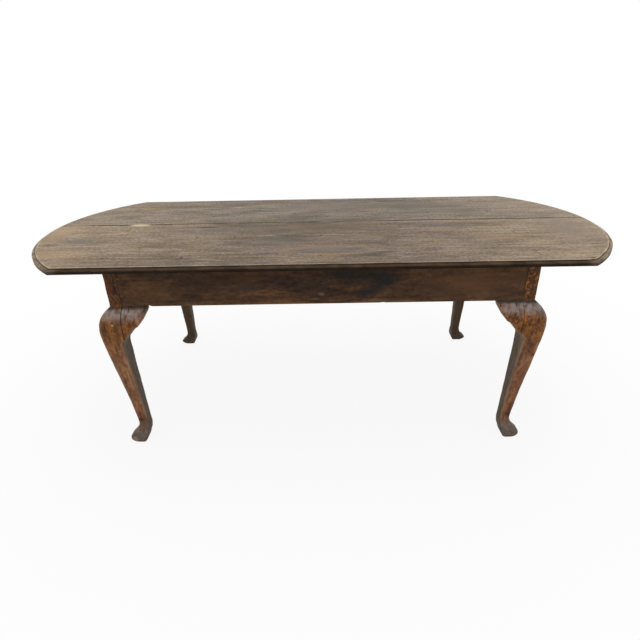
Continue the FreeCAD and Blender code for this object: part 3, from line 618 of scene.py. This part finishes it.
# Old brown-black stain on oak, rubbed thin: soft dark brown clouds over yellower and ruddier
# wood, fine pale specks, and a low sheen from years of handling
FRAME_STAINS = {
    0: [
        ("1a1914", 0.85, (141, -400, 694), (185, 60, 42)),
        ("17191a", 0.85, (222, -400, 668), (60, 60, 38)),
        ("191a19", 0.75, (188, -400, 646), (52, 60, 34)),
        ("1b1b1e", 0.85, (154, -400, 626), (60, 60, 26)),
        ("5c3f1c", 0.45, (-252, -400, 682), (70, 60, 28)),
        ("33302f", 0.5, (-255, -400, 652), (60, 60, 24)),
        ("1d1916", 0.7, (400, -400, 648), (60, 60, 20)),
        ("2b1f15", 0.55, (-380, -400, 672), (300, 60, 60)),
        ("7a6850", 0.5, (0, -400, 624), (16, 60, 9)),
        ("6b5f4c", 0.5, (-24, -400, 604), (26, 60, 9)),
        ("532a19", 0.3, (540, -400, 668), (190, 60, 44)),
        ("5e422c", 0.6, (520, -400, 650), (260, 60, 80)),
        ("614527", 0.35, (-590, -400, 640), (110, 60, 46)),
        ("16130f", 0.8, (-20, -400, 598), (50, 60, 10))],
    1: [("6b4a2f", 0.4, (740, 120, 620), (60, 60, 30)), ("241d17", 0.6, (-740, -80, 700), (60, 160, 30))],
}
frame_oak = {}
for along, way in enumerate(("along the table", "across the table")):
    frame_oak[along], tree = wood("stained oak, grain " + way)
    drift = grain(tree, along, 300, 90, 2, waver=0.5)
    colour = add(tree, "ValToRGB", [drift], [
        (0.3, "33241a"), (0.44, "422d1d"), (0.56, "4c3421"), (0.7, "5a3d27")])
    cloud = grain(tree, along, 70, 20, 4, (4, 2, 7), waver=0.3)
    lines = grain(tree, along, 60, 6, 3)
    scuffs = grain(tree, along, 16, 11, 3, (6, 5, 3))
    colour = mottled(tree, colour, [(cloud, 0.42), (lines, 0.25), (scuffs, 0.4)], 0.05)
    for row in FRAME_STAINS[along]:
        colour = stain(tree, colour, *row)
    specks = grain(tree, along, 9, 5, 2, (9, 3, 1))
    share = add(tree, "ValToRGB", [specks], [(0.62, 0), (0.76, 0.3)])
    colour = add(tree, "Mix", [share, colour, "83684a"])
    place = add(tree, "TexCoord", out="Object")
    height = add(tree, "SeparateXYZ", [place], out="Z")
    rub = add(tree, "MapRange", [height, 0.588, 0.608, 0.6, 0])
    patches = grain(tree, along, 60, 14, 4, (2, 9, 4))
    patches = add(tree, "ValToRGB", [patches], [(0.42, 0), (0.6, 1)])
    share = add(tree, "Math", [rub, patches])
    colour = add(tree, "Mix", [share, colour, "74583a"])
    # Painted shadow: the apron's upper part goes nearly black where the top's overhang shades it
    apron_top_shadow = add(tree, "MapRange", [height, 0.712, 0.735, 0, 0.85])
    colour = add(tree, "Mix", [apron_top_shadow, colour, "120d09"])
    gloss = add(tree, "ValToRGB", [cloud], [(0.35, 0.62), (0.7, 0.5)])
    surfaced(tree, colour, gloss, lines, 0.25, 0.5, specular=0.12)


def planed(node, name, material, along, wave, arris, cuts):
    """A board worked from its CAD shape: arrises eased, then cut up and waved by the plane."""
    bm = bmesh.new()
    bm.from_mesh(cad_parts[node].data)
    bmesh.ops.remove_doubles(bm, verts=bm.verts[:], dist=MM / 100)
    bmesh.ops.dissolve_limit(bm, angle_limit=math.radians(1), verts=bm.verts[:], edges=bm.edges[:])
    low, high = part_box(node)
    lasting = [
        edge for edge in bm.edges
        if edge.calc_length() > EASED_FROM and edge.calc_face_angle(0) > 1]
    bmesh.ops.bevel(bm, geom=lasting, offset=arris, segments=2, profile=0.5, affect="EDGES", material=-1)
    for axis, step in enumerate(cuts):
        if step:
            geometry = bm.verts[:] + bm.edges[:] + bm.faces[:]
            cut_across(bm, geometry, axis, low[axis], high[axis], step)
    middle = (low + high) / 2
    for vert in bm.verts:
        stretched = Vector(vert.co)
        stretched[along] *= 0.35
        inward = middle - vert.co
        inward[along] = 0
        if inward.length > 0:
            inward = Vector([math.copysign(min(abs(each), 1), each) for each in inward])
            vert.co += inward * abs(noise.noise(stretched * 26)) * wave
        for knock in APRON_KNOCKS:
            vert.co.z += dent(vert.co, *knock)
    return dress(bm, name, material, 30, 0.02)


for side, along in (("front", 0), ("rear", 0), ("left", 1), ("right", 1)):
    cuts = [7 * MM, 0, 8 * MM] if along == 0 else [0, 7 * MM, 8 * MM]
    board = planed("apron_" + side, "rail_" + side, frame_oak[along], along, PLANE_WAVE, ARRIS, cuts)
    hand_over(board, "apron_" + side)

# Bearers: three sawn bars under the top. Their ends are dovetailed into the long aprons, and
# pegs from above hold the boards down on them.
SAWN_WAVE = 0.5 * MM
SAWN_ARRIS = 1.2 * MM
for side in ("left", "middle", "right"):
    bar = planed(
        "bearer_" + side, "bar_" + side, sawn_oak[1], 1, SAWN_WAVE, SAWN_ARRIS, [0, 12 * MM, 0])
    hand_over(bar, "bearer_" + side)

# Corner blocks: five-sided lengths of sawn oak, one glued behind each post to the two aprons
# that meet there. Each corner has the angle it is turned by and its way out from the middle.
CORNERS = {
    "front_left": (0, (-1, -1)),
    "front_right": (90, (1, -1)),
    "rear_right": (180, (1, 1)),
    "rear_left": (270, (-1, 1)),
}
for label in CORNERS:
    block = planed(
        "corner_block_" + label, "block_" + label, sawn_oak[2], 2, SAWN_WAVE, SAWN_ARRIS, [0, 0, 9 * MM])
    hand_over(block, "corner_block_" + label)

# Legs: post, knee, cabriole shank and foot sawn from one baulk of oak, shaped with a spokeshave
# and rasp. The square section keeps soft arrises, and the foot flares into a slipper.
FRAME_CORNER = Vector((0.740, 0.402, 0))
APRON_BOTTOM = 588
# Sections up to the apron, in millimetres: height, reach outside the post, inner face behind the
# post's outer face, then the rounding of the outer arris, of the two beside it and of the inner
SECTIONS = [
    (0, 19.2, 25.5, 21.5, 7.3, 5),
    (4.8, 25.7, 28.4, 26.2, 7.9, 5),
    (12, 32.5, 32.6, 32.3, 8.8, 5),
    (20, 35.5, 35.4, 34, 9, 5),
    (28, 27, 37.4, 27, 8, 5),
    (38, 16.5, 40.8, 19.5, 7, 5),
    (51.2, 6.8, 42.5, 11.7, 5.9, 5),
    (64, 0.1, 43.4, 6.4, 5.2, 5),
    (80, -3, 42.5, 5, 5, 5),
    (150.2, 2.3, 40.9, 5, 5, 5),
    (250.3, 12.4, 38.3, 5, 5, 5),
    (350, 24.3, 35.9, 5, 5.5, 5),
    (400, 29.8, 35, 5, 7, 5),
    (440, 34.2, 34.5, 5, 10, 5),
    (455.1, 35.5, 35.5, 5, 11, 5),
    (468.1, 36.7, 39.6, 5, 8, 5),
    (476, 37.3, 43, 5, 1.5, 5),
    (500, 39, 43, 5, 1.5, 5),
    (520, 38.4, 43, 5, 1.5, 5),
    (540, 35.7, 43, 5, 1.5, 5),
    (560, 28.1, 43, 5, 1.5, 5),
    (574.8, 16.8, 43, 4.6, 1.5, 4.6),
    (APRON_BOTTOM, 0, 43, 2.5, 1.5, 2.5),
]
# Between these heights an ear is glued against each side arris, so it stays crisp
EAR_SEAT = (474, APRON_BOTTOM)
# Rows of the leg's net: the share of the rows and the height they reach, in millimetres
LEG_ROWS = [(0, 0), (0.03, 2), (0.22, 80), (0.45, 440), (0.85, APRON_BOTTOM), (1, 741)]
ROW_COUNT = 160
TURN_COUNT = 88
# A quarter turn goes along a flat, round the arris and along the next flat
ARRIS_START = 0.28
ARRIS_END = 0.72
# How deep the tools' marks and the rubbing go, in millimetres, and how many there are to a metre
TOOL_MARK = 0.5
ARRIS_WEAR = 1.3
SHAVE_WAVES = 45
RASP_MARKS = 190
RUBBED_PATCHES = 24
# Mortises, tenon pegs and the peg from above, in millimetres from the post's outer corner
MORTISE = (Vector((18.5, 8.3, 607.8)), Vector((44, 17.7, 721.2)))
TENON_PEG_ALONG = 31
TENON_PEG_PROUD = 0.8
TENON_PEG_HEIGHTS = (633.5, 695.5)
TENON_PEG_LENGTH = 26.85
TENON_PEG_RADIUS = 4
TENON_PEG_HOLE = TENON_PEG_RADIUS + 0.3
POST_WIDTH = 43
POST_PEG_FOOT = 723.7
POST_PEG_HOLE = (4.7, 4.7, 40)


def eased(table, at):
    """The values of a table at a place in its first column, on a smooth curve through its rows."""
    at = min(max(at, table[0][0]), table[-1][0])
    number = max(i for i in range(len(table) - 1) if table[i][0] <= at)
    low, high = table[number], table[number + 1]
    before = table[max(number - 1, 0)]
    after = table[min(number + 2, len(table) - 1)]
    span = high[0] - low[0]
    share = (at - low[0]) / span
    values = []
    for i in range(1, len(low)):
        start = (high[i] - before[i]) / (high[0] - before[0]) * span
        end = (after[i] - low[i]) / (after[0] - low[0]) * span
        values.append(
            (2 * share ** 3 - 3 * share ** 2 + 1) * low[i] + (share ** 3 - 2 * share ** 2 + share) * start
            + (3 * share ** 2 - 2 * share ** 3) * high[i] + (share ** 3 - share ** 2) * end)
    return values


def leg_point(turn, height):
    """A point of the leg's skin, with how near it is to an arris and whether it faces inward."""
    reach, back, outer, beside, inmost = eased(SECTIONS, height)
    quarter = int(turn * 4) % 4
    share = turn * 4 % 1
    u, v, way_u, way_v = [
        (-reach, -reach, 1, 1), (back, -reach, -1, 1), (back, back, -1, -1), (-reach, back, 1, -1)][quarter]
    radius = (outer, beside, inmost, beside)[quarter]
    half = (reach + back) / 2
    if share < ARRIS_START:
        spread = (0, radius + (half - radius) * (1 - share / ARRIS_START))
    elif share > ARRIS_END:
        spread = (radius + (half - radius) * (share - ARRIS_END) / (1 - ARRIS_END), 0)
    else:
        angle = (share - ARRIS_START) / (ARRIS_END - ARRIS_START) * math.pi / 2
        spread = (radius - radius * math.cos(angle), radius - radius * math.sin(angle))
    arris = 1 - min(max(max(spread) - radius, 0) / 3.5, 1)
    if quarter in (1, 3):
        spread = (spread[1], spread[0])
        if EAR_SEAT[0] < height < EAR_SEAT[1]:
            arris = 0
    inner = (0, share, 1, 1 - share)[quarter]
    return u + way_u * spread[0], v + way_v * spread[1], arris, inner


def new_net(columns, rows):
    """A flat grid one long and one wide, to be bent to shape, and its layers for the wear."""
    bm = bmesh.new()
    layers = [bm.verts.layers.float.new(name) for name in ("arris", "inner")]
    bmesh.ops.create_grid(bm, x_segments=columns, y_segments=rows, size=0.5)
    return bm, *layers


def work_surface(bm, arris_layer):
    """Rasp marks, spokeshave waves and rubbed arrises, all taken off the finished shape."""
    bm.normal_update()
    for vert in bm.verts:
        stretched = Vector((vert.co.x, vert.co.y, vert.co.z * 0.35))
        waves = abs(noise.noise(stretched * SHAVE_WAVES)) * TOOL_MARK
        marks = abs(noise.noise(stretched * RASP_MARKS)) * TOOL_MARK * 0.4
        patches = noise.noise(vert.co * RUBBED_PATCHES + Vector((9, 3, 5)))
        rubbed = max(patches + 0.25, 0) * ARRIS_WEAR * vert[arris_layer]
        vert.co -= vert.normal * (waves + marks + rubbed) * MM


def corner_frame(label):
    """Millimetres inward from a post's outer corner, as a place in the table's frame."""
    angle, way = CORNERS[label]
    corner = Vector((way[0] * FRAME_CORNER.x, way[1] * FRAME_CORNER.y, 0))
    turn = Matrix.Rotation(math.radians(angle), 4, "Z")
    return Matrix.Translation(corner) @ turn @ Matrix.Scale(MM, 4)


# The two sides of a corner: as it is, and swapped
SIDES = (Matrix.Identity(4), Matrix(((0, 1, 0, 0), (1, 0, 0, 0), (0, 0, 1, 0), (0, 0, 0, 1))))

# Brown-stained oak, worn by hands and feet: orange-brown speckle on darker brown, a grey bloom
# with a painted sheen on the knees' shoulders, painted shade under the aprons, pale rubbed arrises, and
# dusty grey feet
LEG_STAINS = [
    ("6c3014", 0.6, (-733, -402, 672), (9, 60, 52)),
    ("211007", 0.85, (-708, -402, 660), (8, 60, 62)),
    ("3a2010", 0.8, (722, -402, 668), (5, 60, 26)),
    ("3a2010", 0.7, (733, -402, 615), (4, 60, 22)),
    ("d0bfa2", 0.8, (-729, -440, 535), (4, 20, 4)),
    ("4a2414", 0.6, (728, -402, 110), (16, 60, 40)),
    ("6e4230", 0.5, (745, -402, 300), (22, 60, 110)),
    ("33200f", 0.75, (-738, -402, 92), (34, 60, 14)),
    ("33200f", 0.6, (738, -402, 98), (34, 60, 16)),
    ("241810", 0.8, (760, -430, 385), (6, 20, 8)),
    ("958777", 0.6, (-750, -430, 22), (18, 24, 12)),
    ("3f322b", 0.6, (-616, -402, 570), (26, 60, 34)),
]
leg_oak, tree = wood("brown oak, rubbed and bloomed, with painted sheen and shade")
drift = grain(tree, 2, 150, 40, 4, waver=0.8)
colour = add(tree, "ValToRGB", [drift], [
    (0.3, "4f331b"), (0.45, "66401f"), (0.56, "784b24"), (0.72, "885a2a")])
place = add(tree, "TexCoord", out="Object")
whole = add(tree, "SeparateXYZ", [place]).node.outputs
# Below the knee the wood is smoother, redder and greyer
shank = add(tree, "ValToRGB", [drift], [(0.3, "5c3b28"), (0.5, "80563b"), (0.7, "8f6b4e")])
lower = add(tree, "MapRange", [whole["Z"], 0.4, 0.49, 0, 1])
share = add(tree, "Math", [1, lower], operation="SUBTRACT")
share = add(tree, "Math", [share, 0.8])
colour = add(tree, "Mix", [share, colour, shank])
# The posts are darker, the left ones most: a painted shade for where they stand under the top
share = add(tree, "MapRange", [whole["Z"], 0.585, 0.6, 0, 1])
amount = add(tree, "MapRange", [whole["X"], -0.7, 0.7, 0.8, 0.5])
share = add(tree, "Math", [share, amount])
colour = add(tree, "Mix", [share, colour, "3a210f"])
lines = grain(tree, 2, 90, 5, 3, waver=0.4)
cloud = grain(tree, 2, 22, 12, 3, (3, 3, 8))
colour = mottled(tree, colour, [(lines, 0.36), (cloud, 0.5)], 0.05)
speckle = grain(tree, 2, 13, 8, 4, (6, 1, 3))
amount = add(tree, "MapRange", [whole["X"], -0.7, 0.7, 0.4, 1])
amount = add(tree, "Math", [amount, lower])
for stops, amount, code in (
    ([(0.52, 0), (0.68, 0.75)], amount, "ab6c2c"),
    ([(0.32, 0.6), (0.46, 0)], lower, "2c1a0c"),
):
    share = add(tree, "ValToRGB", [speckle], stops)
    share = add(tree, "Math", [share, amount])
    colour = add(tree, "Mix", [share, colour, code])
inner = add(tree, "Attribute", attribute_name="inner", out="Fac")
share = add(tree, "ValToRGB", [inner], [(0.38, 0), (0.6, 0.85)])
faded = add(tree, "ValToRGB", [lines], [(0.35, "3a3126"), (0.65, "5c5041")])
colour = add(tree, "Mix", [share, colour, faded])
rubbing = grain(tree, 2, 50, 18, 4, (2, 8, 5))
rubbing = add(tree, "ValToRGB", [rubbing], [(0.35, 0.25), (0.58, 1)])
# Grey bloom on the upward faces of the knees, ears and feet: partly the wood's bloom, partly a painted
# sheen of the light from above
up = add(tree, "NewGeometry", out="Normal")
up = add(tree, "SeparateXYZ", [up], out="Z")
up = add(tree, "Math", [cloud, 0.7, up], operation="MULTIPLY_ADD")
share = add(tree, "MapRange", [up, 0.55, 1.1, 0, 0.95])
share = add(tree, "Math", [share, rubbing])
colour = add(tree, "Mix", [share, colour, "a89c98"])
arris = add(tree, "Attribute", attribute_name="arris", out="Fac")
share = add(tree, "Math", [arris, rubbing])
amount = add(tree, "MapRange", [whole["Z"], 0.56, 0.6, 0.5, 0.03])
share = add(tree, "Math", [share, amount])
colour = add(tree, "Mix", [share, colour, "93806a"])
# Painted shade in the hollow where the knee meets the apron, a dark band just below the apron
share = add(tree, "MapRange", [whole["Z"], 0.55, 0.6, 0, 1])
share = add(tree, "ValToRGB", [share], [(0.58, 0), (0.7, 0.8), (0.76, 0.8), (0.8, 0)])
colour = add(tree, "Mix", [share, colour, "2c221a"])
share = add(tree, "MapRange", [whole["Z"], 0.03, 0.11, 0.8, 0])
dusty = add(tree, "ValToRGB", [lines], [(0.35, "30271f"), (0.65, "655849")])
colour = add(tree, "Mix", [share, colour, dusty])
# The rear legs are darkened with a painted shade, for the dark they stand in
share = add(tree, "MapRange", [whole["Y"], -0.2, 0.2, 0, 0.5])
colour = add(tree, "Mix", [share, colour, "3a2611"])
# The glued joint between the knee and each ear is a thin black line
part = add(tree, "VectorMath", [place], operation="ABSOLUTE")
part = add(tree, "VectorMath", [part, (
    FRAME_CORNER.x - POST_WIDTH * MM, FRAME_CORNER.y - POST_WIDTH * MM, 0.53)], operation="SUBTRACT")
part = add(tree, "VectorMath", [part], operation="ABSOLUTE")
apart = add(tree, "SeparateXYZ", [part]).node.outputs
near = add(tree, "Math", [apart["X"], apart["Y"]], operation="MINIMUM")
near = add(tree, "MapRange", [near, 1 * MM, 2.4 * MM, 0.8, 0])
fresher = add(tree, "MapRange", [whole["X"], -0.6, 0.6, 1, 0.35])
near = add(tree, "Math", [near, fresher])
within = add(tree, "Math", [apart["Z"], 0.058], operation="LESS_THAN")
share = add(tree, "Math", [near, within])
colour = add(tree, "Mix", [share, colour, "170e08"])
for row in LEG_STAINS:
    colour = stain(tree, colour, *row)
share = add(tree, "MapRange", [whole["Z"], 0, 0.008, 0.8, 0])
colour = add(tree, "Mix", [share, colour, "2b241d"])
gloss = add(tree, "ValToRGB", [rubbing], [(0.2, 0.5), (1, 0.62)])
relief = add(tree, "Math", [speckle, 0.5, lines], operation="MULTIPLY_ADD")
surfaced(tree, colour, gloss, relief, 0.35, 0.6, specular=0.16)

for label in CORNERS:
    seat = corner_frame(label)
    bm, arris_layer, inner_layer = new_net(TURN_COUNT, ROW_COUNT)
    for vert in bm.verts:
        row = vert.co.y + 0.5
        number = max(i for i in range(len(LEG_ROWS) - 1) if LEG_ROWS[i][0] <= row + 1e-6)
        low, high = LEG_ROWS[number], LEG_ROWS[number + 1]
        height = low[1] + (high[1] - low[1]) * (row - low[0]) / (high[0] - low[0])
        u, v, vert[arris_layer], vert[inner_layer] = leg_point(min(max(vert.co.x + 0.5, 0), 1), height)
        vert.co = seat @ Vector((u, v, height))
    bmesh.ops.remove_doubles(bm, verts=bm.verts[:], dist=MM / 100)
    bmesh.ops.holes_fill(bm, edges=[edge for edge in bm.edges if edge.is_boundary], sides=0)
    face_outward(bm)
    work_surface(bm, arris_layer)
    leg = dress(bm, "shaped_leg_" + label, leg_oak, 50)
    joints = bmesh.new()
    across = Matrix.Rotation(math.pi / 2, 4, "X")
    post_peg = (POST_WIDTH / 2, POST_WIDTH / 2, POST_PEG_FOOT + POST_PEG_HOLE[2] / 2)
    tapered_bar(joints, HOLE_SIDES, *POST_PEG_HOLE, Matrix.Translation(post_peg))
    middle = (MORTISE[0] + MORTISE[1]) / 2
    size = MORTISE[1] - MORTISE[0]
    for side in SIDES:
        bmesh.ops.create_cube(
            joints, size=1, matrix=side @ Matrix.Translation(middle) @ Matrix.Diagonal(size.to_4d()))
        for level in TENON_PEG_HEIGHTS:
            tapered_bar(
                joints, HOLE_SIDES, TENON_PEG_HOLE, TENON_PEG_HOLE, 2 * TENON_PEG_LENGTH,
                side @ Matrix.Translation((TENON_PEG_ALONG, 0, level)) @ across)
    bmesh.ops.transform(joints, matrix=seat, verts=joints.verts[:])
    face_outward(joints)
    bore(leg, dress(joints, "leg_joints", None))
    hand_over(leg, "leg_" + label)

# Tenon pegs: two through each tenon, whittled like the top's and driven from the post's outer
# faces. Their heads stand a little proud.
for label in CORNERS:
    seat = corner_frame(label)
    bm = bmesh.new()
    for side in SIDES:
        for level in TENON_PEG_HEIGHTS:
            head = seat @ side @ Vector((TENON_PEG_ALONG, -TENON_PEG_PROUD, level))
            way = ((seat @ side).to_3x3() @ Vector((0, 1, 0))).normalized()
            whittled_peg(bm, TENON_PEG_RADIUS * MM, head, way, TENON_PEG_LENGTH * MM)
    face_outward(bm)
    hand_over(dress(bm, "pegs_" + label, peg_oak, 25), "tenon_pegs_" + label)

# Ears: brackets glued beside each knee and nailed up into the aprons. Their fronts go on with
# the knee's swell, and their outline runs out to a blunt tip, then back in a hollow to the leg.
EAR_LENGTH = 88
EAR_HEIGHT = 112
EAR_BACK = 24
# Outline: share of the height below the apron, share of the length. The rounded tip ends in a
# cusp, and a hollow runs on from there
EAR_TIP = [
    (0, 0.945), (0.09, 0.975), (0.19, 0.93), (0.29, 0.85), (0.38, 0.775), (0.46, 0.71), (0.53, 0.655),
    (0.57, 0.595), (0.595, 0.49)]
EAR_TAIL = [
    (0.595, 0.43), (0.67, 0.39), (0.75, 0.345), (0.84, 0.265), (0.9, 0.185), (0.955, 0.09), (0.988, 0.015)]
EAR_EDGE = 4.5
EAR_COLUMNS = 34
EAR_ROWS = 52
# The glued joint beside the leg: how far it is worn open, and how much more at one height
CRACK = (0.6, 1.8)
CRACK_HEIGHT = 494
CRACK_REACH = 12
NAIL_SHARES = (0.28, 0.9)
NAIL_START = (-16.77, 574.8)
NAIL_WAY = Vector((0, 0.8387, 0.5446))
NAIL_LENGTH = 40
# The radii at both ends and the length, of the hole, the shank and the head
NAIL_HOLE = (1.5, 1.5, 80)
NAIL_SHANK = (1.35, 0.5, NAIL_LENGTH - 1)
NAIL_HEAD = (1.2, 3.3, 1.2)


def rolled(distance, radius):
    """How far a rounded edge falls back at a distance from it."""
    if distance >= radius:
        return 0
    return radius - math.sqrt(max(radius ** 2 - (radius - distance) ** 2, 0))


def on_nail(share, along):
    """The frame of an ear's nail, so many millimetres along it from its head."""
    start = Vector((POST_WIDTH + share * EAR_LENGTH, *NAIL_START))
    turn = NAIL_WAY.to_track_quat("Z", "Y").to_matrix().to_4x4()
    return Matrix.Translation(start + NAIL_WAY * along) @ turn


for label, (angle, _) in CORNERS.items():
    for side in SIDES:
        name = "long" if (angle in (0, 180)) == (side == SIDES[0]) else "end"
        seat = corner_frame(label) @ side
        bm, arris_layer, _ = new_net(EAR_COLUMNS, EAR_ROWS)
        for vert in bm.verts:
            drop = (0.5 - vert.co.y) * EAR_TAIL[-1][0]
            across = 1 - (0.5 - vert.co.x) ** 1.5
            width = eased(EAR_TIP if drop < EAR_TIP[-1][0] else EAR_TAIL, drop)[0] * EAR_LENGTH
            height = APRON_BOTTOM - drop * EAR_HEIGHT
            edge = min((1 - across) * width * 0.75, 60)
            crack = CRACK[0] + CRACK[1] * math.exp(-((height - CRACK_HEIGHT) / CRACK_REACH) ** 2)
            out = eased(SECTIONS, height)[0]
            out -= rolled(edge, min(EAR_EDGE, width * 0.4 + 1))
            out -= rolled(across * width, min(crack, width * 0.3))
            out -= rolled(APRON_BOTTOM - height, 1.5) * 0.6
            vert[arris_layer] = 1 - min(edge / 9, 1)
            vert.co = seat @ Vector((POST_WIDTH + across * width, -out, height))
        inverse = seat.inverted()
        for item in bmesh.ops.extrude_face_region(bm, geom=bm.faces[:])["geom"]:
            if isinstance(item, bmesh.types.BMVert):
                local = inverse @ item.co
                local.y = EAR_BACK
                item.co = seat @ local
        face_outward(bm)
        work_surface(bm, arris_layer)
        ear = dress(bm, "bracket_%s_%s" % (label, name), leg_oak, 50)
        holes = bmesh.new()
        for share in NAIL_SHARES:
            tapered_bar(holes, 12, *NAIL_HOLE, on_nail(share, NAIL_HOLE[2] / 2 + 7))
        bmesh.ops.transform(holes, matrix=seat, verts=holes.verts[:])
        face_outward(holes)
        bore(ear, dress(holes, "nail_holes", None))
        hand_over(ear, "ear_%s_%s" % (label, name))

# Ear nails: forged iron, two through each ear. A square shank tapers to its point, and the
# hammer left four to six facets on the head.
# Wrought iron, rusted and rubbed: nearly black with brown rust in its hollows
iron, tree = wood("wrought iron, rusted")
rust = grain(tree, 2, 2, 2, 3)
colour = add(tree, "ValToRGB", [rust], [(0.35, "17130f"), (0.6, "2b211a"), (0.75, "4a2f1e")])
surfaced(tree, colour, 0.6, rust, 0.5, 0.2, metallic=0.6)
for label in CORNERS:
    bm = bmesh.new()
    for side in SIDES:
        for number, share in enumerate(NAIL_SHARES):
            made = tapered_bar(bm, 4, *NAIL_SHANK, on_nail(share, NAIL_LENGTH / 2 + 0.5))
            made += tapered_bar(bm, 5 + number, *NAIL_HEAD, on_nail(share, -0.2))
            bmesh.ops.transform(bm, matrix=corner_frame(label) @ side, verts=made)
    face_outward(bm)
    hand_over(dress(bm, "nails_" + label, iron, 20), "ear_nails_" + label)
